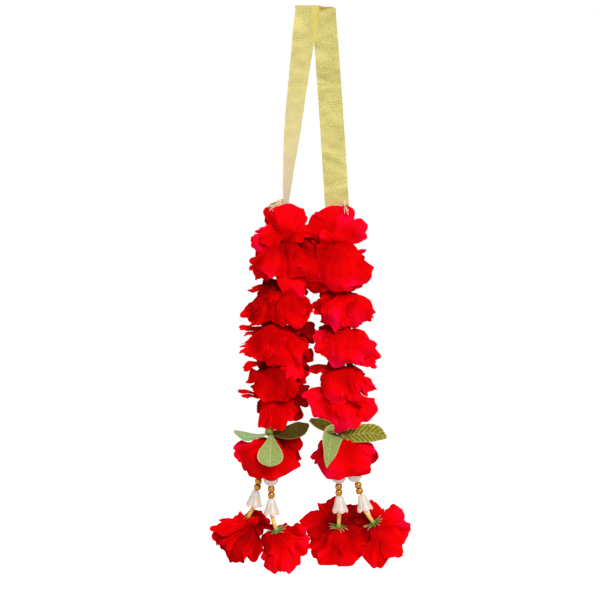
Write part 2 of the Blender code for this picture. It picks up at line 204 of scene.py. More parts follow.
def linear(hex_colour):
    """sRGB hex to linear RGBA."""
    values = [int(hex_colour[i : i + 2], 16) / 255 for i in (1, 3, 5)]
    return (*(v / 12.92 if v <= 0.04045 else ((v + 0.055) / 1.055) ** 2.4 for v in values), 1.0)


def add(tree, kind, inputs, out=0, stops=(), **settings):
    """Adds a shader node with its settings and gives one of its outputs. An input is a value, or another
    node's output to link. Stops are a colour ramp's positions and hex colours."""
    node = tree.nodes.new("ShaderNode" + kind)
    for key, value in settings.items():
        setattr(node, key, value)
    if stops:
        elements = node.color_ramp.elements
        while len(elements) < len(stops):
            elements.new(0.5)
        for element, (position, colour) in zip(elements, stops):
            element.position = position
            element.color = linear(colour)
    for key, value in inputs.items():
        if isinstance(value, bpy.types.NodeSocket):
            tree.links.new(value, node.inputs[key])
        else:
            node.inputs[key].default_value = value
    if node.outputs:
        return node.outputs[out]


def new_material(name):
    """A material with an empty tree, and that tree."""
    made = bpy.data.materials.new(name)
    made.use_nodes = True
    made.node_tree.nodes.clear()
    return made, made.node_tree


def mottled(tree, colour, pattern, strength, *shades):
    """A colour that a pattern's shades darken, as far as strength lets them."""
    shade = add(tree, "ValToRGB", {0: pattern}, stops=shades)
    inputs = {0: strength, 6: colour, 7: shade}
    return add(tree, "Mix", inputs, 2, data_type="RGBA", blend_type="MULTIPLY")


def surfaced(made, looks, relief=(), glow=0.0, holes=0.0):
    """Gives a material its principled looks, a relief (height, strength, depth in metres), the share of
    the light that comes through it and the share of it that is open, and gives it back."""
    tree = made.node_tree
    if relief:
        height, strength, depth = relief
        looks["Normal"] = add(tree, "Bump", {"Height": height, "Strength": strength, "Distance": depth})
    face = add(tree, "BsdfPrincipled", looks)
    if glow:
        through = add(tree, "BsdfTranslucent", {"Color": looks["Base Color"]})
        face = add(tree, "MixShader", {0: glow, 1: face, 2: through})
    if holes:
        face = add(tree, "MixShader", {0: holes, 1: face, 2: add(tree, "BsdfTransparent", {})})
    add(tree, "OutputMaterial", {"Surface": face})
    return made


def tinted(name, stops, grain, strength, shades, looks, relief=(), glow=0.0):
    """A material whose colour runs through stops with tone, darkened in grains that many mm wide. The
    grains also give it its relief (strength, depth in metres)."""
    made, tree = new_material(name)
    tone = add(tree, "Attribute", {}, "Fac", attribute_name="tone")
    place = add(tree, "TexCoord", {}, "Object")
    grains = add(tree, "TexNoise", {"Vector": place, "Scale": 1 / (grain * MM), "Detail": 2.0})
    colour = add(tree, "ValToRGB", {0: tone}, stops=stops)
    looks["Base Color"] = mottled(tree, colour, grains, strength, *shades)
    return surfaced(made, looks, (grains, *relief) if relief else (), glow)


def petal_cloth():
    """Dyed polyester petal cloth, heat-crimped: a matt scarlet in soft patches 18 mm wide, with pleats that
    run out from the heart and are 1 mm apart near the rim, and a glow where light comes through. Its tone is
    partly the cloth's red and partly painted light and shade: deep red towards each petal's root,
    crimson-pink towards its edges."""
    made, tree = new_material("dyed polyester petal cloth, heat-crimped")
    lie = add(tree, "Attribute", {}, "Vector", attribute_name="lie")
    tone = add(tree, "Attribute", {}, "Fac", attribute_name="tone")
    place = add(tree, "TexCoord", {}, "Object")
    cloud = add(tree, "TexNoise", {"Vector": place, "Scale": 55.0, "Detail": 2.0})
    pleated = add(tree, "VectorMath", {0: lie, 1: (9.0, 0.5, 1.0)}, operation="MULTIPLY")
    streaks = add(tree, "TexNoise", {"Vector": pleated, "Scale": 3.0, "Detail": 3.0})
    shifted = add(tree, "Math", {0: tone, 1: -0.25}, operation="ADD")
    dye_and_painted_light = add(tree, "Math", {0: cloud, 1: 0.5, 2: shifted}, operation="MULTIPLY_ADD")
    reds = ((0.0, "#8E0002"), (0.3, "#CE0003"), (0.55, "#F20105"), (0.75, "#FA0320"), (0.95, "#FC0848"))
    colour = add(tree, "ValToRGB", {0: dye_and_painted_light}, stops=reds)
    colour = mottled(tree, colour, streaks, 0.7, (0.3, "#EEEEEE"), (0.62, "#FFFFFF"))
    looks = {"Base Color": colour, "Roughness": 0.78, "Specular IOR Level": 0.02}
    return surfaced(made, looks, (streaks, 0.25, 0.8 * MM), glow=0.22)


def organza():
    """Metallic gold organza ribbon: sheer plain-woven gold yarn, speckled with painted glints where the weave
    catches light, with soft crinkles 9 mm apart in relief and in painted shade, and paler and peach towards
    its front end: a peach flush on the cloth, and painted light where that leg twists away from the lamps.
    The weave's speckle is drawn about 1 mm wide so that it shows. lie's third number is 1 where two layers
    make it yellower, and -1 where the cloth is flushed with peach."""
    made, tree = new_material("metallic gold organza ribbon")
    lie = add(tree, "Attribute", {}, "Vector", attribute_name="lie")
    tone = add(tree, "Attribute", {}, "Fac", attribute_name="tone")
    speckle = add(tree, "TexNoise", {"Vector": lie, "Scale": 950.0, "Detail": 3.0, "Roughness": 0.8})
    stretched = add(tree, "VectorMath", {0: lie, 1: (0.5, 1.0, 1.0)}, operation="MULTIPLY")
    crinkles = add(tree, "TexNoise", {"Vector": stretched, "Scale": 110.0, "Detail": 3.0})
    soft = add(tree, "Math", {0: crinkles, 1: 0.2}, operation="MULTIPLY")
    # Painted glints and dark specks of the weave, and painted shade in soft crinkles; the same pattern gives
    # the relief.
    painted_glints_and_crinkle_shade = add(tree, "Math", {0: speckle, 1: 0.8, 2: soft}, operation="MULTIPLY_ADD")
    weave = ((0.41, "#887E3E"), (0.47, "#C2B864"), (0.54, "#D8CE7C"), (0.62, "#EEE6B2"))
    # Paler, peach colours towards the front end: a peach flush, and painted light where that leg twists from
    # the lamps.
    peach_and_painted_light_stops = ((0.0, "#D6CC74"), (0.2, "#ECE092"), (0.6, "#F4E8B0"), (1.0, "#F0E0D0"))
    woven = add(tree, "ValToRGB", {0: painted_glints_and_crinkle_shade}, stops=weave)
    dyed = add(tree, "ValToRGB", {0: tone}, stops=peach_and_painted_light_stops)
    share = add(tree, "Math", {0: tone, 1: 0.6, 2: 0.2}, operation="MULTIPLY_ADD")
    colour = add(tree, "Mix", {0: share, 6: woven, 7: dyed}, 2, data_type="RGBA")
    gilding = add(tree, "SeparateXYZ", {0: lie}, 2)
    doubled = add(tree, "Math", {0: gilding, 1: 1.0}, operation="MULTIPLY", use_clamp=True)
    halved = add(tree, "Math", {0: doubled, 1: 0.5}, operation="MULTIPLY")
    flushed = add(tree, "Math", {0: gilding, 1: -1.0}, operation="MULTIPLY", use_clamp=True)
    colour = add(tree, "Mix", {0: halved, 6: colour, 7: linear("#F0E268")}, 2, data_type="RGBA")
    colour = add(tree, "Mix", {0: flushed, 6: colour, 7: linear("#F4C090")}, 2, data_type="RGBA")
    looks = {"Base Color": colour, "Metallic": 0.2, "Roughness": 0.6}
    return surfaced(made, looks, (painted_glints_and_crinkle_shade, 0.4, 0.5 * MM), glow=0.3, holes=0.15)


def gold_yarn():
    """Loose yarn of the gold ribbon: matt, cream to peach, a few of them brown, with a twist every 2 mm."""
    stops = ((0.1, "#A8784C"), (0.25, "#ECD0A0"), (0.6, "#F6E6C0"), (1.0, "#FAD8B8"))
    shades = ((0.35, "#D8C8A8"), (0.6, "#FFFFFF"))
    return tinted("frayed gold organza yarn", stops, 2.0, 0.5, shades, {"Roughness": 0.7}, (0.3, 0.3 * MM))


def leaf_cloth(name, front, dark, vein, midrib, spacing=VEIN_SPACING, boldness=0.6):
    """Pressed leaf cloth, printed green: herringbone veins, a pale midrib, cream cut edges and a mottle
    2.4 mm wide. lie holds the share across, the distance along and the half-width there, in metres."""
    made, tree = new_material(name)
    lie = add(tree, "Attribute", {}, "Vector", attribute_name="lie")
    tone = add(tree, "Attribute", {}, "Fac", attribute_name="tone")
    place = add(tree, "TexCoord", {}, "Object")
    across, along, half = add(tree, "SeparateXYZ", {0: lie}, slice(3))
    side = add(tree, "Math", {0: across}, operation="ABSOLUTE")
    reach = add(tree, "Math", {0: side, 1: half}, operation="MULTIPLY")
    slant = add(tree, "Math", {0: reach, 1: -VEIN_SLANT, 2: along}, operation="MULTIPLY_ADD")
    phase = add(tree, "Math", {0: slant, 1: TURN / (spacing * MM)}, operation="MULTIPLY")
    wave = add(tree, "Math", {0: phase}, operation="SINE")
    veins = add(tree, "Math", {0: wave, 1: 0.5, 2: 0.5}, operation="MULTIPLY_ADD")
    narrow = add(tree, "Math", {0: veins, 1: 3.0}, operation="POWER")
    printed = add(tree, "Math", {0: narrow, 1: boldness}, operation="MULTIPLY")
    rib = add(tree, "Math", {0: reach, 1: 0.5 * MM}, operation="LESS_THAN")
    pale = add(tree, "Math", {0: rib, 1: 0.7}, operation="MULTIPLY")
    border = add(tree, "Math", {0: side, 1: 0.93}, operation="GREATER_THAN")
    edge = add(tree, "Math", {0: border, 1: tone}, operation="MULTIPLY")
    mottle = add(tree, "TexNoise", {"Vector": place, "Scale": 420.0, "Detail": 3.0})
    colour = add(tree, "ValToRGB", {0: mottle}, stops=((0.3, dark), (0.62, front)))
    for share, tint in ((printed, vein), (pale, midrib), (edge, "#DDB98C")):
        colour = add(tree, "Mix", {0: share, 6: colour, 7: linear(tint)}, 2, data_type="RGBA")
    looks = {"Base Color": colour, "Roughness": 0.6, "Specular IOR Level": 0.12}
    return surfaced(made, looks, (veins, 0.4, 0.6 * MM), glow=0.15)


def moulded(name, roughness, *stops):
    """Moulded polyethylene: a waxy sheen and slight flow marks 3.3 mm wide."""
    shades = ((0.3, "#D0D0D0"), (0.6, "#FFFFFF"))
    return tinted(name, stops, 10 / 3, 0.6, shades, {"Roughness": roughness}, (0.15, 0.4 * MM))


def frosted_acrylic(name, *stops):
    """Translucent acrylic, moulded: milky white in clouds 3.8 mm wide, which lets light through, under an
    even glossy coat."""
    looks = {"Roughness": 0.28, "Coat Weight": 0.3, "Coat Roughness": 0.15}
    return tinted(name, stops, 50 / 13, 0.4, ((0.35, "#F2EEEA"), (0.65, "#FFFFFF")), looks, glow=0.5)


def gilt():
    """Gilt metallised bead: polished gold-brown that mirrors a pale room, rubbed in patches 2 mm wide and
    dark at its bore."""
    made, tree = new_material("gilt metallised bead, polished")
    tone = add(tree, "Attribute", {}, "Fac", attribute_name="tone")
    place = add(tree, "TexCoord", {}, "Object")
    rub = add(tree, "TexNoise", {"Vector": place, "Scale": 1 / (2.0 * MM), "Detail": 3.0})
    golds = ((0.0, "#6E3C10"), (0.3, "#B07028"), (0.7, "#BE7E34"), (1.0, "#6E3C10"))
    colour = add(tree, "ValToRGB", {0: tone}, stops=golds)
    roughness = add(tree, "Math", {0: rub, 1: 0.2, 2: 0.14}, operation="MULTIPLY_ADD")
    looks = {"Base Color": colour, "Metallic": 0.9, "Roughness": roughness}
    return surfaced(made, looks)


def cotton():
    """Twisted cotton thread: pale, matt, with its plies drawn 1 mm apart so that they show."""
    made, tree = new_material("twisted cotton thread")
    lie = add(tree, "Attribute", {}, "Vector", attribute_name="lie")
    around, along = add(tree, "SeparateXYZ", {0: lie}, slice(2))
    start = add(tree, "Math", {0: around, 1: 2 * TURN}, operation="MULTIPLY")
    turn = add(tree, "Math", {0: along, 1: TURN / MM, 2: start}, operation="MULTIPLY_ADD")
    wave = add(tree, "Math", {0: turn}, operation="SINE")
    ply = add(tree, "Math", {0: wave, 1: 0.5, 2: 0.5}, operation="MULTIPLY_ADD")
    colour = add(tree, "ValToRGB", {0: ply}, stops=((0.1, "#B9AC98"), (0.6, "#E8DFD0")))
    looks = {"Base Color": colour, "Roughness": 0.85}
    return surfaced(made, looks, (ply, 0.6, 0.3 * MM))


# ---------------------------------------------------------------- petals

PETAL_THICKNESS = 0.35

# A petal's rows and columns, the notches in its rim, and how wide one is as a share of the half-width.
PETAL_GRID = (19, 27)
NOTCHES = 8
NOTCH_WIDTH = 0.085

# How strongly cloth is creased and how far its sides cup, in radians: usually, and where it is smoother.
CREASE, CUPPING = 0.65, 0.8
LOWEST_CREASE = 0.25
SKIRT_CREASE = 0.2
HEAD_CREASE, HEAD_CUPPING = 0.3, 0.45

# Which way a petal in front of the strand bulges, and which way one behind it does.
FORWARDS = (0.0, -1.0, 0.2)
BACKWARDS = (0.0, 1.0, 0.2)

# How far a ring's petals start from the strand's middle, in mm. A petal that points further forwards than
# the sides uses only a share of its reach, to close the view from the side; past the front there is none.
ROOT_GAP = 2.0
SIDES_END = -0.25
FRONT_START = -0.8
SIDE_SHARE = 0.72

Cloth = namedtuple(
    "Cloth", "fan ruffle fray tone square cup roll curl crease", defaults=(0.0, CUPPING, 0.0, 0.0, CREASE)
)
Layer = namedtuple("Layer", "count turn height share rise fall fan ruffle fray curl tone")
Shaped = namedtuple("Shaped", "root tip bulge fan ruffle fray tone square", defaults=(0.0,))


def bent_line(rise, fall, curl, share):
    """Where a petal's middle line is after a share of its length, as fractions of that length: the
    elevation goes from rise to fall, the last fifth curls up again, and its cosine and sine add up."""
    spots = np.linspace(0, 1.25, 100)
    lean = rise + (fall - rise) * spots**0.9 + curl * np.clip((spots - 0.78) / 0.22, 0, 1.5) ** 2
    step = spots[1] - spots[0]
    out = np.concatenate([[0], np.cumsum(np.cos(lean[:-1]) * step)])
    up = np.concatenate([[0], np.cumsum(np.sin(lean[:-1]) * step)])
    return np.interp(share, spots, out), np.interp(share, spots, up), np.interp(share, spots, lean)


def petal(root, outward, upward, rise, fall, length, cloth, rng):
    """A fan of cloth. Flat, it is a sector whose rim rounds off at the sides, or stays square, and is cut
    into teeth. Its middle line then leaves the root outwards and bends from elevation rise to elevation
    fall, its sides cup round that line, and waves that grow with the square of the distance ruffle it."""
    rows, cols = PETAL_GRID
    u = np.linspace(0.05, 1, rows)[:, None] ** 0.85
    v = np.linspace(-1, 1, cols)[None, :]
    notches = rng.uniform(-1, 1, (NOTCHES, 1))
    depths = rng.uniform(0.1, 1, (NOTCHES, 1)) ** 1.5 * (0.015 + 1.3 * cloth.fray)
    cuts = (depths * np.exp(-(((v - notches) / NOTCH_WIDTH) ** 2))).sum(axis=0)[None, :]
    lobes = 0.05 * np.sin(3.4 * v + rng.uniform(0, 6.28)) + 0.025 * np.sin(8 * v + rng.uniform(0, 6.28))
    square = cloth.square
    rim = 1 + 0.2 * square * v**2 - (0.22 + 0.16 * square) * np.abs(v) ** (2.6 + 3 * square) + lobes - cuts
    reach = u * (1 + (rim - 1) * u**3)
    angle = v * cloth.fan * (1 - 0.15 * (1 - u))
    across, along = reach * np.sin(angle) * length, reach * np.cos(angle)
    out, up, tilt = bent_line(rise, fall, cloth.curl, along)
    out, up = out * length, up * length
    bend = cloth.cup / (length * math.sin(cloth.fan))
    sideways = np.sin(bend * across) / bend
    lift = -(1 - np.cos(bend * across)) / bend
    size = reach**2
    waves = rng.uniform(1.1, 2.0)
    p1, p2, p3, p4 = rng.uniform(0, TURN, 4)
    frill = np.sin(waves * math.pi * v + p1) + 0.6 * np.sin(2.4 * waves * math.pi * v + p2 + 1.2 * reach)
    frill = frill * size + 0.28 * size**2.5 * np.sin(5.3 * waves * math.pi * v + p3)
    bumps = np.sin(across / 4.6 + p2 + 0.9 * np.sin(along * 6 + p4))
    bumps = bumps * np.sin(along * length / 6.0 + p1 + across / 9.0)
    creases = np.abs(np.sin(2.3 * math.pi * v + p4 + 0.7 * np.sin(4 * reach + p1)))
    lift = lift + cloth.ruffle * frill + 0.9 * bumps * reach + cloth.crease * cloth.ruffle * creases * reach
    side = np.cross(upward, outward)
    points = np.asarray(root) + out[..., None] * outward + up[..., None] * upward + sideways[..., None] * side
    normal = np.cos(tilt)[..., None] * upward - np.sin(tilt)[..., None] * outward
    points = points + lift[..., None] * normal
    if cloth.roll:
        points = rolled(points, root, outward, cloth.roll)
    points = drift(points)
    lie = [angle + 3.1 * cloth.tone, reach + rng.uniform(0, 9), np.full_like(reach, rng.uniform(0, 9))]
    # Painted shade and light in the tone: darker towards the root and in the crease valleys, lighter where
    # the ruffles lift, and pinker towards the rim.
    shade = cloth.tone + 0.5 * (reach - 0.62) + 0.10 * frill + 0.15 * cloth.crease * (creases - 0.6) * reach
    return wall(points, PETAL_THICKNESS, np.stack(lie, axis=-1), np.clip(shade, 0, 1))


def drift(points):
    """Shifts points by a slow field, the same for every petal, so that neighbours crumple together:
    each coordinate moves by a sine of a slanting distance, of wavelength 30 mm, and another of 17 mm."""
    slants = np.array([[0.5, 0.3, 0.9], [0.8, -0.5, 0.4], [-0.4, 0.9, 0.5]])
    slow = 1.9 * np.sin(points @ slants.T * (TURN / 30) + np.array([0.4, 2.1, 4.0]))
    quick = 0.8 * np.sin(points @ slants * (TURN / 17) + np.array([1.7, 5.2, 0.3]))
    return points + slow + quick


def rolled(points, root, axis, angle):
    """Points turned about a line through root."""
    arm = points - np.asarray(root)
    c, s = math.cos(angle), math.sin(angle)
    along = (arm @ axis)[..., None] * axis
    return np.asarray(root) + arm * c + np.cross(axis, arm) * s + along * (1 - c)


def reaching(rise, fall, curl, reach):
    """The length at which a bent petal reaches a distance out from its root."""
    return reach / bent_line(rise, fall, curl, np.linspace(0, 1, 40))[0].max()


def ring_of_petals(layer, side, heart_low, heart_high, reaches, rng):
    """A layer of petals round the strand, open at the front, where the shaped petals go. Each one
    reaches out as far as its side allows."""
    left, right, depth = reaches
    centre = on_strand(side, heart_low + (heart_high - heart_low) * layer.height)
    skins = []
    for k in range(layer.count):
        azimuth = math.radians(layer.turn + 360 * k / layer.count + rng.uniform(-10, 10))
        outward = np.array([math.cos(azimuth), math.sin(azimuth), 0.0])
        wide = right if outward[0] > 0 else left
        reach = 1 / math.hypot(outward[0] / wide, outward[1] / depth) - ROOT_GAP
        rise = math.radians(layer.rise + rng.uniform(-10, 10))
        fall = math.radians(layer.fall + rng.uniform(-12, 12))
        curl = math.radians(layer.curl * rng.uniform(0.4, 1.3))
        share = layer.share * rng.uniform(0.92, 1.05)
        fan = math.radians(layer.fan + rng.uniform(-4, 4))
        fray = layer.fray * rng.uniform(0.5, 1.3)
        tone = layer.tone + rng.uniform(-0.2, 0.2)
        cloth = Cloth(fan, layer.ruffle, fray, tone, roll=rng.uniform(-0.2, 0.2), curl=curl)
        root = centre + ROOT_GAP * outward
        if outward[1] > SIDES_END:
            length = reaching(rise, fall, curl, reach * share * (1 - 0.15 * max(0, abs(outward[0]) - 0.5)))
            skins.append(petal(root, outward, UP, rise, fall, length, cloth, rng))
        elif outward[1] > FRONT_START:
            length = reaching(rise, fall, curl, reach * share * SIDE_SHARE)
            skins.append(petal(root, outward, UP, rise, fall, length, cloth, np.random.default_rng(k)))
    return skins


def shaped_petal(heart, s, rng, face=FORWARDS, crease=CREASE, cup=CUPPING):
    """A petal from root to tip, both given from the bloom's heart in mm to the right, backwards and
    upwards. It bulges towards the side that it faces."""
    chord = np.array(s.tip, float) - np.array(s.root, float)
    outward = unit(chord)
    face = np.array(face)
    upward = unit(face - outward * (face @ outward))
    bulge = math.radians(s.bulge)
    length = reaching(bulge, -bulge, 0, float(np.linalg.norm(chord)))
    cloth = Cloth(math.radians(s.fan), s.ruffle, s.fray, s.tone, s.square, cup, crease=crease)
    return petal(heart + np.array(s.root, float), outward, upward, bulge, -bulge, length, cloth, rng)


def shaped(rows):
    """Rows of numbers as shaped petals."""
    return [Shaped(row[:3], row[3:6], *row[6:]) for row in rows]


# Each layer: petals, turn of the first, height in the bloom, share of the reach, elevation at the root and
# at the tip, half-angle of the fan, ruffle in mm, depth of the frayed teeth, curl of the rim, pinkness.
UMBRELLA = (
    Layer(5, 270, 0.97, 0.90, 34, -78, 46, 2.2, 0.10, 40, 0.52),
    Layer(5, 234, 0.90, 0.82, 12, -88, 46, 2.4, 0.12, 30, 0.46),
    Layer(5, 262, 0.84, 0.68, -22, -92, 46, 2.4, 0.08, 35, 0.42),
)
CUP = (
    Layer(5, 238, 0.30, 0.80, 58, -10, 46, 2.2, 0.08, 0, 0.55),
    Layer(5, 262, 0.45, 0.85, 25, -70, 44, 2.2, 0.10, 30, 0.45),
    Layer(5, 240, 0.35, 0.70, -10, -80, 44, 2.0, 0.08, 20, 0.42),
)
DRAPED = (
    Layer(5, 270, 0.97, 0.90, 34, -72, 46, 2.4, 0.14, 35, 0.5),
    Layer(5, 234, 0.86, 0.86, 10, -80, 46, 2.2, 0.10, 30, 0.45),
    Layer(5, 275, 0.68, 0.78, -28, -86, 48, 1.8, 0.03, 20, 0.5),
)
SKIRT = (
    Layer(5, 270, 0.97, 0.95, 12, -96, 48, 1.2, 0.0, 10, 0.58),
    Layer(5, 234, 0.90, 0.85, 0, -92, 48, 1.4, 0.01, 10, 0.50),
)
RECIPES = {1: CUP, 2: UMBRELLA, 3: UMBRELLA, 4: UMBRELLA, 5: DRAPED}
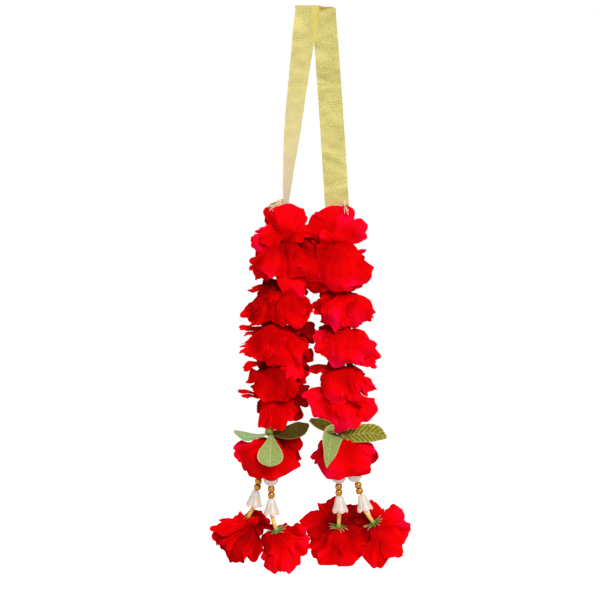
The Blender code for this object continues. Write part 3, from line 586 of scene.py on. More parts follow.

# Each bloom's shaped petals: root and tip from the heart in mm (right, back, up), bulge in degrees,
# half-angle of the fan, ruffle in mm, depth of the frayed teeth as a share of the length, pinkness, which is
# also painted light and shade (low for petals painted dark red as if shaded, high for petals painted pink as
# if lit), and squareness of the rim where it isn't round.
SHAPED = {
    "left_1": (
        (-2, -2, 3, -28, -8, 4, 20, 24, 1.6, 0.14, 0.74),
        (-2, -4, 2, -32, -12, -9, 20, 20, 1.6, 0.14, 0.72),
        (4, -2, 0, 31, -3, 9, 25, 30, 1.6, 0.05, 0.08),
        (3, -3, 2, 32, -5, -5, 25, 40, 1.6, 0.06, 0.12),
        (3, -1, 0, 22, -3, -2, 25, 44, 1.6, 0.02, 0.10),
        (-1, -12, 10, -19, -17, -2, 40, 46, 1.2, 0.01, 0.44),
        (4, -12, 10, 19, -16, -3, 40, 46, 1.2, 0.01, 0.36),
        (-9, -6, 0, -10, -11, 32, 34, 24, 1.2, 0.01, 0.46, 0.6),
        (12, -6, 0, 14, -11, 30, 34, 24, 1.2, 0.01, 0.50, 0.2),
        (4, -8, -2, 22, -11, 18, 34, 36, 1.2, 0.01, 0.40),
        (0, -8, -2, -13, -11, 12, 34, 30, 1.2, 0.01, 0.40),
        (1, -10, -6, 3, -14, 33, 36, 34, 1.0, 0.01, 0.50, 0.8),
    ),
    "left_2": (
        (-3, -4, 1, -30, -10, -10, 38, 38, 1.6, 0.03, 0.40, 0.4),
        (-4, -6, -8, -32, -12, -28, 30, 17, 1.2, 0.03, 0.50),
        (-4, -6, -10, -27, -14, -37, 30, 26, 1.4, 0.03, 0.40),
        (3, -4, 1, 26, -8, -6, 38, 36, 1.4, 0.03, 0.14),
        (3, -4, -3, 25, -14, -25, 40, 42, 1.6, 0.04, 0.20),
        (-8, -10, -20, 20, -18, -56, 30, 28, 2.4, 0.03, 0.66),
        (6, -4, -8, 26, -8, -32, 40, 34, 1.6, 0.02, 0.12),
        (-3, -7, 5, -12, -20, -33, 58, 40, 2.2, 0.02, 0.50, 0.3),
        (2, -8, 5, 6, -20, -36, 60, 42, 2.4, 0.02, 0.44, 0.3),
    ),
    "left_3": (
        (0, 3, -3, -15, 8, 9, 10, 44, 1.6, 0.03, 0.16),
        (-6, -3, 1, -33, -6, -2, 15, 11, 0.6, 0.02, 0.60),
        (-3, -5, -10, -39, -12, -32, 32, 18, 1.6, 0.14, 0.55),
        (-4, -8, -12, -33, -14, -35, 25, 24, 1.4, 0.12, 0.45),
        (-2, -5, 2, -22, -10, -12, 38, 36, 1.8, 0.04, 0.22),
        (3, -4, 2, 24, -8, -9, 35, 36, 1.6, 0.03, 0.28),
        (3, -4, -3, 32, -10, -23, 35, 16, 1.8, 0.03, 0.34),
        (-2, -7, 4, -12, -19, -38, 54, 38, 2.4, 0.03, 0.42, 0.3),
        (2, -8, 5, 11, -20, -37, 56, 40, 2.6, 0.03, 0.50, 0.3),
    ),
    "left_4": (
        (0, 3, -3, -16, 8, 8, 10, 42, 1.6, 0.03, 0.16),
        (0, 3, -3, 33, 6, -5, 10, 20, 1.6, 0.03, 0.06),
        (-8, -3, 3, -38, -6, 1, 15, 8, 0.6, 0.02, 0.55),
        (-8, -4, 0, -33, -8, -5, 15, 8, 0.6, 0.02, 0.50),
        (-3, -5, -8, -40, -12, -24, 30, 19, 1.8, 0.16, 0.64),
        (-4, -8, -12, -26, -14, -29, 28, 28, 1.6, 0.06, 0.42),
        (-8, -8, -30, -38, -14, -40.5, 22, 9, 0.8, 0.03, 0.55),
        (2, -1, -1, 39, 0, -7, 30, 26, 1.6, 0.03, 0.02),
        (3, -5, -8, 33, -8, -37, 34, 22, 1.6, 0.03, 0.22),
        (3, -5, -4, 26, -10, -24, 36, 32, 2.0, 0.03, 0.30),
        (2, -8, -14, 17, -18, -55, 32, 23, 2.0, 0.02, 0.66),
        (-2, -7, 5, -13, -20, -35, 56, 40, 2.2, 0.05, 0.44, 0.3),
        (2, -8, 5, 5, -22, -38, 58, 40, 2.6, 0.03, 0.52, 0.3),
    ),
    "left_5": (
        (0, 3, -3, -15, 8, 8, 10, 42, 1.6, 0.03, 0.12),
        (0, 3, -3, 14, 8, 7, 10, 40, 1.6, 0.03, 0.06),
        (0, 3, -1, 34, 6, 4, 10, 24, 1.2, 0.03, 0.06),
        (-3, -5, 0, -28, -8, -14, 30, 30, 1.6, 0.10, 0.42),
        (-10, -6, -29, -37, -12, -21, 20, 7, 0.8, 0.02, 0.58),
        (-10, -8, -32, -35, -12, -27, 20, 8, 0.8, 0.02, 0.55),
        (-3, -6, -8, -23, -12, -25, 30, 28, 1.6, 0.06, 0.32),
        (3, -4, -2, 30, -8, -14, 35, 28, 1.6, 0.04, 0.26, 0.4),
        (3, -4, -12, 36, -8, -31, 25, 22, 1.0, 0.02, 0.06),
        (-3, -6, -20, -12, -16, -58, 22, 19, 1.0, 0.0, 0.60, 0.3),
        (6, -6, -18, 15, -16, -53, 24, 22, 1.0, 0.0, 0.52, 0.3),
        (2, -7, -16, 4, -18, -62, 22, 20, 1.0, 0.0, 0.56, 0.1),
        (0, -8, 5, 1, -22, -31, 60, 46, 2.6, 0.05, 0.46, 0.4),
    ),
    "right_1": (
        (-4, -3, 4, -28, -8, 5, 34, 40, 1.8, 0.03, 0.12),
        (-4, -3, 2, -27, -6, -8, 34, 36, 1.8, 0.03, 0.08),
        (-3, -5, 2, -32, -11, 32, 32, 34, 1.4, 0.02, 0.34),
        (2, -4, 2, 1, -11, 43, 30, 24, 1.4, 0.01, 0.48),
        (2, -5, 2, 7, -12, 38, 32, 24, 1.4, 0.01, 0.66),
        (2, -6, 2, 29, -13, 23, 36, 26, 1.2, 0.01, 0.58, 0.3),
        (-2, -6, 3, -14, -13, 41, 32, 38, 1.4, 0.01, 0.36, 0.5),
        (4, -8, 8, 12, -14, 5, 40, 34, 1.4, 0.02, 0.50),
        (-3, -8, 4, -17, -15, 14, 36, 44, 1.4, 0.02, 0.36),
        (0, -8, 0, 4, -15, 30, 30, 50, 1.4, 0.01, 0.46, 0.4),
    ),
    "right_2": (
        (3, -3, 0, 25, -8, 5, 20, 12, 1.0, 0.05, 0.56),
        (-3, -4, 2, -30, -8, 0, 32, 30, 1.6, 0.03, 0.12),
        (-3, -4, 1, -30, -10, -14, 36, 38, 1.6, 0.03, 0.22),
        (-3, -4, -4, -33, -12, -36, 40, 34, 1.6, 0.02, 0.10),
        (3, -4, 0, 32, -10, -23, 36, 18, 1.2, 0.01, 0.50),
        (3, -6, -4, 17, -16, -34, 40, 30, 1.6, 0.02, 0.64, 0.3),
        (-4, -9, 10, -21, -17, -6, 44, 44, 1.6, 0.01, 0.30),
        (-2, -15, 15, -10, -23, -37, 48, 42, 1.6, 0.01, 0.36, 0.4),
        (3, -15, 16, 8, -23, -36, 48, 44, 1.6, 0.01, 0.46, 0.4),
    ),
    "right_3": (
        (0, 3, -3, -21, 8, 7, 10, 38, 1.6, 0.03, 0.14),
        (0, 3, -3, 13, 8, 9, 10, 30, 1.6, 0.03, 0.30),
        (3, -3, 1, 23, -8, -3, 25, 18, 1.4, 0.08, 0.50),
        (3, -4, -2, 30, -9, -14, 28, 14, 1.2, 0.08, 0.52),
        (3, -4, -3, 33, -10, -26, 34, 20, 1.6, 0.08, 0.50),
        (-2, -4, 0, -30, -8, -18, 32, 14, 1.4, 0.02, 0.24),
        (-2, -5, 2, -17, -13, -12, 45, 36, 1.6, 0.02, 0.30),
        (-2, -5, 0, -13, -15, -29, 45, 32, 1.6, 0.02, 0.36),
        (3, -10, 8, 19, -18, -30, 50, 38, 2.0, 0.02, 0.52, 0.3),
        (0, -10, 8, 1, -20, -32, 56, 36, 2.0, 0.02, 0.56, 0.3),
    ),
    "right_4": (
        (0, 3, -3, -24, 8, 2, 10, 28, 1.6, 0.03, 0.14),
        (0, 3, -3, -8, 8, 10, 10, 34, 1.6, 0.03, 0.16),
        (0, 3, -3, 9, 8, 12, 10, 34, 1.6, 0.02, 0.30),
        (2, 1, -3, 13, 4, 3, 15, 30, 1.6, 0.02, 0.40),
        (14, -9, -25, 38.5, -10, -36.5, 15, 11, 0.8, 0.02, 0.66),
        (-2, -6, -34, -34, -4, -41, 22, 10, 0.8, 0.02, 0.26),
        (-2, -5, 3, -28, -10, -7, 34, 24, 1.6, 0.02, 0.66),
        (-2, -5, -1, -19, -14, -17, 40, 30, 1.6, 0.02, 0.38),
        (3, -5, 2, 29, -10, -13, 38, 28, 1.8, 0.01, 0.48, 0.3),
        (4, -5, -4, 32, -14, -33, 42, 26, 1.8, 0.01, 0.52, 0.2),
        (-2, -8, 5, -7, -22, -26, 54, 36, 2.0, 0.02, 0.40, 0.3),
        (3, -8, 5, 11, -24, -33, 60, 44, 2.0, 0.02, 0.52, 0.3),
    ),
    "right_5": (
        (0, 3, -3, -15, 8, 7, 10, 38, 1.6, 0.03, 0.14),
        (0, 3, -3, 11, 8, 7, 10, 30, 1.6, 0.02, 0.28),
        (3, -4, 2, 16, -8, -6, 30, 32, 1.6, 0.08, 0.50),
        (4, -4, -4, 31, -10, -23, 38, 16, 1.4, 0.04, 0.56),
        (-3, -4, 2, -20, -8, -6, 30, 30, 1.6, 0.03, 0.34),
        (-3, -4, -2, -21, -12, -19, 36, 32, 1.6, 0.03, 0.30),
        (-6, -8, -16, -37, -14, -31, 25, 24, 0.8, 0.0, 0.60),
        (3, -6, -18, 32, -14, -48.5, 30, 28, 0.8, 0.0, 0.62),
        (-2, -8, -16, -32, -16, -45, 28, 32, 0.8, 0.0, 0.62),
        (4, -8, -16, 18, -18, -57, 26, 32, 0.8, 0.0, 0.50),
        (-2, -8, -16, -14, -18, -55, 26, 34, 0.8, 0.0, 0.54),
        (1, -9, -18, 5, -20, -65, 26, 38, 0.8, 0.0, 0.58),
        (0, -8, 5, -2, -22, -31, 60, 44, 2.4, 0.02, 0.45, 0.3),
    ),
    "skirt_left": (
        (-3, -4, 2, -38, -10, -16, 36, 23, 1.2, 0, 0.70),
        (-3, -4, 0, -35, -14, -25, 40, 26, 1.2, 0, 0.56),
        (-3, -4, 0, -25, -14, -33, 40, 26, 1.2, 0, 0.48),
        (3, -4, 4, 28, -10, -9, 38, 33, 1.2, 0, 0.22),
        (3, -4, 0, 19, -14, -26, 40, 26, 1.2, 0, 0.30),
        (-3, -5, 0, -16, -20, -38, 48, 38, 1.2, 0, 0.40),
        (3, -5, 0, 8, -20, -39, 48, 38, 1.2, 0, 0.36),
        (0, -7, 2, -4, -23, -38, 60, 50, 1.2, 0, 0.42, 0.2),
    ),
    "skirt_right": (
        (-3, -4, -2, -33, -8, -21, 34, 17, 1.2, 0, 0.60),
        (-3, -4, 0, -27, -10, -11, 36, 30, 1.2, 0, 0.58),
        (3, -4, 2, 25, -12, -18, 38, 26, 1.2, 0, 0.62),
        (3, -4, 0, 22, -14, -33, 42, 28, 1.2, 0, 0.55),
        (-3, -5, 0, -13, -18, -37, 48, 30, 1.2, 0, 0.42),
        (3, -5, 0, 14, -20, -35, 48, 36, 1.2, 0, 0.48),
        (0, -6, 1, 0, -23, -37, 58, 54, 1.4, 0, 0.50, 0.2),
    ),
    "left_outer": (
        (11, -4, -3, -13, -15, -38, 36, 30, 1.3, 0, 0.44),
        (9, -2, -3, 1, -10, -39, 32, 31, 1.3, 0, 0.32),
        (14, -4, -3, -26, -14, -34, 32, 26, 1.3, 0.02, 0.36),
        (15, -4, -3, -34, -14, -24, 30, 20, 1.6, 0.03, 0.46),
        (17, -4, -1, -34, -14, -8, 26, 16, 1.6, 0.08, 0.58),
        (12, -5, -5, -15, -12, 2, 34, 26, 1.4, 0.03, 0.52),
        (8, -8, -10, 6, -12, 6, 34, 40, 1.4, 0.02, 0.50),
    ),
    "left_inner": (
        (0, 2, 0, -12, 8, 5, 20, 30, 1.2, 0.03, 0.14),
        (0, 2, 0, 14, 8, 2, 20, 30, 1.6, 0.03, 0.22),
        (3, 2, 0, 33, 2, 4, 20, 15, 1.0, 0.02, 0.44),
        (0, 1, 0, 31, 0, -12, 28, 32, 1.8, 0.03, 0.52),
        (0, 0, 0, -13, -4, -17, 30, 36, 1.8, 0.02, 0.20),
        (0, 0, 0, 27, -4, -29, 32, 34, 2.0, 0.02, 0.38),
        (0, 0, 0, -8, -6, -29, 32, 27, 1.8, 0.02, 0.42),
        (0, -4, 2, -6, -10, -20, 44, 50, 2.0, 0.02, 0.30),
        (0, -4, 2, 12, -10, -24, 44, 46, 2.0, 0.02, 0.46),
        (0, 0, 0, 6, -8, -44, 38, 27, 1.8, 0.02, 0.52),
    ),
    "right_inner": (
        (0, 2, 0, 16, 10, 20, 30, 38, 2.0, 0.01, 0.16),
        (0, 2, 0, 22, 6, 6, 26, 40, 1.8, 0.01, 0.16),
        (0, 2, 0, -20, 9, 18, 30, 36, 2.0, 0.01, 0.36),
        (0, 2, 0, -3, 10, 26, 30, 34, 2.0, 0.01, 0.42),
        (0, 1, 0, -37, 4, 3, 28, 30, 1.8, 0.01, 0.30),
        (0, 0, 0, 27, -4, -19, 32, 32, 1.8, 0, 0.34),
        (0, 0, 0, -30, -4, -19, 32, 34, 2.0, 0, 0.26),
        (0, 0, 0, 18, -8, -36, 34, 34, 2.0, 0, 0.46),
        (0, 0, 0, -17, -8, -36, 34, 34, 2.0, 0, 0.42),
        (0, -1, 0, 0, -10, -41, 40, 38, 2.4, 0, 0.54),
    ),
    "right_outer": (
        (0, 2, 0, 0, 8, 22, 28, 28, 1.8, 0.01, 0.46),
        (0, 2, 0, -18, 5, 7, 24, 38, 1.8, 0.01, 0.14),
        (0, 1, 0, 11, 8, 11, 30, 32, 1.8, 0, 0.34),
        (0, 1, 0, 25, 6, 5, 30, 30, 1.6, 0, 0.56),
        (0, 1, 0, 36, 4, 6, 32, 27, 1.6, 0, 0.64, 0.3),
        (0, 0, 0, -12, -5, -22, 28, 34, 1.8, 0, 0.20),
        (0, 0, 0, 36, 0, -14, 34, 34, 2.0, 0, 0.56, 0.3),
        (0, -1, 0, 9, -10, -42, 38, 31, 1.6, 0, 0.44),
        (0, -1, 0, 27, -8, -29, 38, 33, 1.6, 0, 0.50, 0.2),
    ),
}

# Petals behind the topmost blooms, which cover the thread there.
BEHIND = (
    (-3, 2, 0, -12, 9, 26, 25, 26, 1.4, 0.03, 0.40),
    (3, 2, 0, 15, 9, 27, 25, 34, 1.4, 0.03, 0.50),
    (0, 3, -2, 1, 11, 28, 30, 44, 1.6, 0.02, 0.45),
    (0, 4, -6, 0, 20, 14, 50, 50, 1.6, 0.02, 0.45),
)

# Shares of the box's reach to the left and to the right that the petals behind use, where not all of it.
TRIMS = {
    "left_5": (0.75, 0.72),
    "right_1": (1.0, 0.7),
    "right_4": (0.6, 1.0),
    "right_5": (1.0, 0.9),
    "skirt_left": (0.95, 0.86),
    "skirt_right": (0.95, 0.84),
}

# How many small petals stand out of each bloom's front, and how far to each side they spread, in mm.
RUFFLES = {
    "left_2": (7, 17),
    "left_3": (8, 20),
    "left_4": (9, 20),
    "left_5": (6, 15),
    "right_2": (4, 16),
    "right_3": (8, 17),
    "right_4": (6, 18),
    "right_5": (6, 17),
}

# How much lighter or darker than usual each bloom's petals are: painted light and shade, mostly lighter on
# the right strand as if more light fell there, and darker on the left.
PAINTED_LIGHT_BY_BLOOM = {
    "left_1": 0.03,
    "left_2": -0.08,
    "left_3": -0.18,
    "left_4": -0.11,
    "left_5": -0.18,
    "right_1": 0.12,
    "right_2": 0.10,
    "right_3": 0.06,
    "right_4": 0.07,
    "right_5": 0.02,
    "skirt_right": 0.05,
    "left_outer": -0.12,
    "left_inner": 0.02,
    "right_inner": -0.09,
    "right_outer": -0.03,
}

# Which way each tassel's head hangs open.
HEAD_AXES = {
    "left_outer": (-0.35, -0.75, 0.55),
    "left_inner": (-0.25, -0.75, 0.62),
    "right_inner": (0.0, -0.86, 0.50),
    "right_outer": (0.1, -0.86, 0.50),
}

# How many small petals a ring behind a head has, and for each ring how far behind the calyx it starts in
# mm, its elevation at the root and at the tip in radians, its length in mm and the half-angle of its fans.
HEAD_PETALS = 6
HEAD_RINGS = ((2.5, -0.2, -1.3, 22, 0.7), (3.0, -0.6, -1.5, 30, 0.75))


def make_bloom(bloom, skins, node, finish):
    """A bloom's petals as one piece, their tone moved lighter or darker by the bloom's painted light and
    shade.
    """
    shift = PAINTED_LIGHT_BY_BLOOM.get(bloom, 0.0)
    # Painted light and shade: every petal's tone moves by one shift for the whole bloom.
    dyed = [s._replace(tone=np.clip(s.tone + shift, 0, 1)) for s in skins]
    piece(f"petals_{bloom}", dyed, finish, [node])


def rings(bloom, node, side, layers, rng):
    """The petals round a strand in a bloom's box, layer by layer. The box and the bloom's trims say how far
    they may reach to the left, to the right and forwards."""
    low, high = box(node)
    centre = on_strand(side, (low[2] + high[2]) / 2)
    left, right = TRIMS.get(bloom, (1.0, 1.0))
    reaches = (centre[0] - low[0]) * left, (high[0] - centre[0]) * right, (high[1] - low[1]) / 2
    skins = []
    for layer in layers:
        skins += ring_of_petals(layer, side, low[2], high[2], reaches, rng)
    return skins


def front_ruffles(heart, count, width, rng):
    """Small petals over a bloom's front: their roots go down it from side to side, and their tips hang
    outwards, each leaning and turned a little by chance."""
    skins = []
    for k in range(count):
        aside = rng.uniform(-1, 1)
        down = (k + rng.uniform(0, 0.8)) / count
        root = np.array([aside * width * (0.3 + 0.5 * down), -13 - 7 * math.sin(2.4 * down), 3 - 20 * down])
        lean = 0.7 * aside + rng.uniform(-0.5, 0.5)
        long = rng.uniform(13, 19)
        tip = root + np.array([math.sin(lean) * long, -rng.uniform(2, 5), -math.cos(lean) * long])
        bulge, fan, tone = rng.uniform(30, 55), rng.uniform(36, 50), rng.uniform(0.3, 0.66)
        skins.append(shaped_petal(heart, Shaped(root, tip, bulge, fan, 1.8, 0.04, tone), rng))
    return skins


def make_strand_bloom(side, number, finish):
    """A bloom on a strand: rings of petals round it, shaped ones in front, and small ruffles over those.
    The topmost has petals behind it instead, which cover the thread."""
    bloom, node = f"{side}_{number}", f"bloom_{side}_{number}"
    low, high = box(node)
    rng = np.random.default_rng(10 * number + (3 if side == "left" else 7))
    skins = rings(bloom, node, side, RECIPES[number], rng)
    heart = on_strand(side, low[2] + 1.0 if number == 1 else high[2])
    crease = LOWEST_CREASE if number == 5 else CREASE
    skins += [shaped_petal(heart, s, rng, crease=crease) for s in shaped(SHAPED[bloom])]
    if number > 1:
        skins += front_ruffles(heart, *RUFFLES[bloom], rng)
    else:
        skins += [shaped_petal(heart, s, rng, BACKWARDS) for s in shaped(BEHIND)]
    make_bloom(bloom, skins, node, finish)


def make_skirt(side, finish):
    """A wide umbrella of broad petals whose tips round in under it."""
    bloom, node = f"skirt_{side}", f"skirt_bloom_{side}"
    rng = np.random.default_rng(71 if side == "left" else 93)
    skins = rings(bloom, node, side, SKIRT, rng)
    heart = on_strand(side, box(node)[1][2])
    skins += [shaped_petal(heart, s, rng, crease=SKIRT_CREASE) for s in shaped(SHAPED[bloom])]
    make_bloom(bloom, skins, node, finish)


def make_tassel_bloom(name, finish):
    """A head hung by its back: shaped petals fan out round its calyx, and a ring of smaller ones
    behind them closes in towards its open side. The right-hand heads have a second, wider ring."""
    seat = middle(f"calyx_{name}")
    axis = unit(HEAD_AXES[name])
    across = unit(np.array([1.0, 0, 0]) - axis * axis[0])
    upward = np.cross(axis, across)
    rng = np.random.default_rng(sum(map(ord, name)))
    behind = HEAD_RINGS if name.startswith("right") else HEAD_RINGS[:1]
    skins = []
    for k in range(HEAD_PETALS):
        angle = math.radians(360 / HEAD_PETALS * k + 20)
        outward = across * math.cos(angle) + upward * math.sin(angle)
        for (back, rise, fall, length, fan), chance in zip(behind, (rng, np.random.default_rng(k))):
            cloth = Cloth(fan, 1.4, 0.04, 0.4)
            skins.append(petal(seat - axis * back, outward, axis, rise, fall, length, cloth, chance))
    heart = seat - axis * 1.5
    skins += [shaped_petal(heart, s, rng, axis, HEAD_CREASE, HEAD_CUPPING) for s in shaped(SHAPED[name])]
    make_bloom(name, skins, f"tassel_bloom_{name}", finish)


# ---------------------------------------------------------------- paths and leaves


def smooth_step(t):
    """0 to 1 with a level start and end: 3 t squared less 2 t cubed."""
    return t * t * (3 - 2 * t)


def spline(points, count):
    """A smooth curve through points: piecewise cubic with Catmull-Rom tangents, read at count even steps."""
    p = np.asarray(points, float)
    p = np.concatenate([2 * p[:1] - p[1:2], p, 2 * p[-1:] - p[-2:-1]])
    t = np.linspace(0, len(p) - 3, count)
    i = np.minimum(t.astype(int), len(p) - 4)
    f = (t - i).reshape((-1,) + (1,) * (p.ndim - 1))
    a, b, c, d = p[i], p[i + 1], p[i + 2], p[i + 3]
    return 0.5 * (2 * b + (c - a) * f + (2 * a - 5 * b + 4 * c - d) * f**2 + (3 * b - a - 3 * c + d) * f**3)


def tube(path, radii, sides):
    """A round tube along a path: circles of the given radii across the path's direction."""
    path, radii = np.asarray(path, float), np.asarray(radii, float)
    tangent = unit(np.gradient(path, axis=0))
    guide = np.array([0.0, 1.0, 0.0]) if abs(tangent[0][1]) < 0.8 else np.array([1.0, 0.0, 0.0])
    side = unit(np.cross(tangent, guide))
    other = np.cross(tangent, side)
    a = np.linspace(0, TURN, sides, endpoint=False)
    circle = side[:, None] * np.cos(a)[None, :, None] + other[:, None] * np.sin(a)[None, :, None]
    along = walked(path)
    lie = np.stack(np.broadcast_arrays((a / TURN)[None], along[:, None] * MM, 0.0), axis=-1)
    loops = path[:, None] + circle * radii[:, None, None]
    return loft(loops, lie=lie, tone=(along / max(along[-1], 1e-9))[:, None])


LEAF_THICKNESS = 0.5

Leaf = namedtuple("Leaf", "cloth path widths face fold ribs edge spacing", defaults=(VEIN_SPACING,))


def leaf(shape):
    """A leaf along its middle line: across it the surface folds up by an angle and is pressed into
    slanting ribs; its half-width follows the widths, which close to a point at the tip."""
    rows, cols = 60, 21
    line = spline(shape.path, rows)
    half = np.maximum(spline(np.array(shape.widths)[:, None], rows), 0.25)
    tangent = unit(np.gradient(line, axis=0))
    side = unit(np.cross(tangent, unit(shape.face)))
    normal = np.cross(side, tangent)
    v = np.linspace(-1, 1, cols)[None, :]
    along = walked(line)[:, None]
    offset = np.abs(v) * half
    rib = shape.ribs * np.sin(TURN * (along - VEIN_SLANT * offset) / shape.spacing)
    rib = rib * np.minimum(1, half / 5) * (1 - np.abs(v) ** 4)
    lift = offset * math.sin(shape.fold) + rib + 0.5 * np.sin(along / 5.0) * np.abs(v) ** 2
    points = line[:, None] + side[:, None] * (v * half * math.cos(shape.fold))[..., None]
    points = points + normal[:, None] * lift[..., None]
    lie = np.stack(np.broadcast_arrays(v, along * MM, half * MM), axis=-1)
    return wall(points, LEAF_THICKNESS, lie, shape.edge)


# ---------------------------------------------------------------- ribbon

RIBBON_HALF = 12.5
RIBBON_THICKNESS = 0.3
FOLD_DEPTH = 8.0
FOLD_DROP = 1.5
FRONT_SQUARENESS = 5.0
BACK_SQUARENESS = 12.0
LEFT_TOP_X = -9.2
RIGHT_TOP_X = 8.3
LEFT_TWISTS = (0.0, 30.0, 40.0, 48.0, 65.0, 78.0)

# The pressed crease: where it starts and ends down the back leg, and how deep it is, in mm.
PRESS_START = 55.5
PRESS_END = 73.8
PRESS_DEPTH = 4.4

# The frayed cut end on each side: where it starts from the thread's top and where its middle points, in mm.
FRINGES = {
    "left": ((-3.0, -9.0, 3.5), (-16.5, -15.0, -4.0)),
    "right": ((6.0, -8.0, 3.0), (9.0, -17.0, -6.0)),
}
YARNS = 12


def make_fringe(side, finish):
    """Loose gold yarns: each is a thin tube that fans out from the tie and droops as its square."""
    start, tip = (np.array(place) for place in FRINGES[side])
    top = strand_ends(side)[0]
    rng = np.random.default_rng(41 if side == "left" else 42)
    t = np.linspace(0, 1, 12)[:, None]
    skins = []
    for k in range(YARNS):
        spread = np.array([rng.uniform(-2, 3), rng.uniform(-3, 3), 6.5 * k / YARNS - 2.5])
        chord = tip + spread - start
        root = top + start + np.array([0, 0, 3.5 * k / YARNS - 1.5])
        path = root + chord * t * rng.uniform(0.75, 1.1) + np.array([0, 0, 2.5]) * (t - t**2)
        yarn = tube(path, 0.65 * (1 - t[:, 0]) ** 0.5 + 0.15, 6)
        skins.append(yarn._replace(tone=np.full(len(yarn.verts), rng.uniform(0.0, 1.0))))
    return piece(f"ribbon_fringe_{side}", skins, finish, ["ribbon"])


def ribbon_path():
    """The band's middle line, its direction across, and how many points come before the back leg. The
    line goes up the front leg, over the fold and down the back leg. A leg falls evenly from the fold to
    its tie while its depth closes in smoothly; the fold is half a superellipse in which the band shifts
    sideways late. The front leg also twists."""
    start, end = -FOLD_DEPTH - FOLD_DROP, box("ribbon")[0][2] - 4.0
    feet = [strand_ends(side)[0][0] for side in SIDES]
    t = np.linspace(0, 1, 90)

    def leg(top_x, foot_x, shift, depth):
        x = top_x + (foot_x - top_x) * shift
        return np.stack([x, depth * (1 - smooth_step(t)), start + (end - start) * t], axis=1)

    front = leg(LEFT_TOP_X, feet[0], 1 - (1 - t) ** 1.25, -FOLD_DEPTH)[::-1]
    back = leg(RIGHT_TOP_X, feet[1], t**0.9, FOLD_DEPTH)
    angle = np.linspace(0, math.pi, 4000)
    c, s = np.cos(angle), np.sin(angle)
    power = np.where(c > 0, 2 / FRONT_SQUARENESS, 2 / BACK_SQUARENESS)
    y = -FOLD_DEPTH * np.sign(c) * np.abs(c) ** power
    z = -FOLD_DEPTH * (1 - np.maximum(s, 0) ** power) - FOLD_DROP
    far = walked(np.stack([y, z], axis=1))
    steps = np.linspace(0, far[-1], 62)[1:-1]
    y, z = np.interp(steps, far, y), np.interp(steps, far, z)
    share = ((y + FOLD_DEPTH) / (2 * FOLD_DEPTH)) ** 4.5
    over = np.stack([LEFT_TOP_X + (RIGHT_TOP_X - LEFT_TOP_X) * share, y, z], axis=1)
    twist = np.radians(spline(LEFT_TWISTS, len(t)))
    twisted = np.stack([np.cos(twist), np.sin(twist), 0 * t], axis=1)[::-1]
    level = np.tile([1.0, 0, 0], (len(over) + len(back), 1))
    return np.concatenate([front, over, back]), np.concatenate([twisted, level]), len(front) + len(over)


def make_ribbon(finish, yarn):
    """The band carried down the front leg, over a square-shouldered fold and down the back leg. Its
    crinkle is a sum of slanting sines, at most 0.5 mm high, and one pressed crease crosses its back leg."""
    path, width, fold_end = ribbon_path()
    v = (np.linspace(-1, 1, 15) * RIBBON_HALF)[None]
    points = path[:, None] + width[:, None] * v[..., None]
    along = walked(path)
    s = along[:, None]
    crinkle = 0.14 * np.sin(s / 4.1 + v / 3.0) + 0.10 * np.sin(s / 2.3 - v / 4.2 + 1.0)
    crinkle = crinkle + 0.12 * np.sin(s / 15 + v / 9)
    down = s - along[fold_end - 1]
    slope = np.clip((down - PRESS_START - 0.38 * v) / 14, 0, 1)
    crease = np.where(down > 0, PRESS_DEPTH * slope * np.clip((PRESS_END - down) / 3.2, 0, 1), 0)
    x, y, z = np.moveaxis(points, -1, 0)
    lap = np.clip(1.3 - np.abs(x + 0.5) / 4.0, 0, 1) * np.clip((z + 48) / 6, 0, 1) * (y < -1)
    crest = (np.abs(y) < FOLD_DEPTH - 0.6) & (z > -FOLD_DROP - 1)
    foot = 0.6 * np.clip(1 - (along[-1] - s) / 14, 0, 1) * np.ones_like(v)
    gilding = np.where(crest, -0.8, lap - foot)
    points = points + facing(points) * (crinkle - crease)[..., None]
    lie = np.stack(np.broadcast_arrays(v * MM, s * MM, gilding), axis=-1)
    # Paler and peach towards the front leg's foot: a peach flush, and painted light where the leg twists away
    # from the lamps.
    dye_and_painted_light = np.clip(1 - s / 210, 0, 1) * np.ones_like(v)
    skin = wall(points, RIBBON_THICKNESS, lie, dye_and_painted_light)
    band = piece("ribbon_band", [skin], finish, ["ribbon"])
    fringes = [make_fringe(side, yarn) for side in SIDES]


# ---------------------------------------------------------------- small pieces

# The radii of a strand's thread and a tassel's, and the height at which a tassel's is knotted.
STRAND_RADIUS = 0.8
TASSEL_RADIUS = 0.6
KNOT_HEIGHT = -478.5

SEPALS = 6
BEAD_HALF = 3.0
BEAD_RADIUS = 3.75
BORE = 0.95

STEM_RADIUS = 2.3
CALYX_HALF = 1.9
SPINES = 15

# A bell's length, how far its narrow end lies from its middle, and its outer and inner profiles as the
# radius in mm at a share of the length.
Bell = namedtuple("Bell", "length back outer inner")
BELL = Bell(
    17.6,
    9.15,
    (
        (BORE, 0), (3.0, 0), (3.8, 0.05), (4.5, 0.16), (5.2, 0.3), (5.9, 0.46), (6.8, 0.62), (7.8, 0.76),
        (8.3, 0.86), (8.1, 0.95), (7.0, 1.0),
    ),
    ((5.9, 0.96), (5.3, 0.84), (4.3, 0.68), (3.2, 0.56), (BORE, 0.5)),
)
CAP = Bell(
    8.4,
    4.2,
    (
        (BORE, 0), (2.8, 0), (4.2, 0.1), (5.9, 0.25), (7.0, 0.42), (7.6, 0.6), (7.8, 0.78), (7.7, 0.92),
        (7.0, 1.0),
    ),
    ((6.3, 0.9), (5.5, 0.7), (4.2, 0.5), (BORE, 0.4)),
)


def framed(axis):
    """Two directions across an axis."""
    axis = unit(axis)
    a = unit(np.cross(axis, [0.0, 1.0, 0.0]) if abs(axis[1]) < 0.9 else np.cross(axis, [1.0, 0.0, 0.0]))
    return a, np.cross(axis, a)


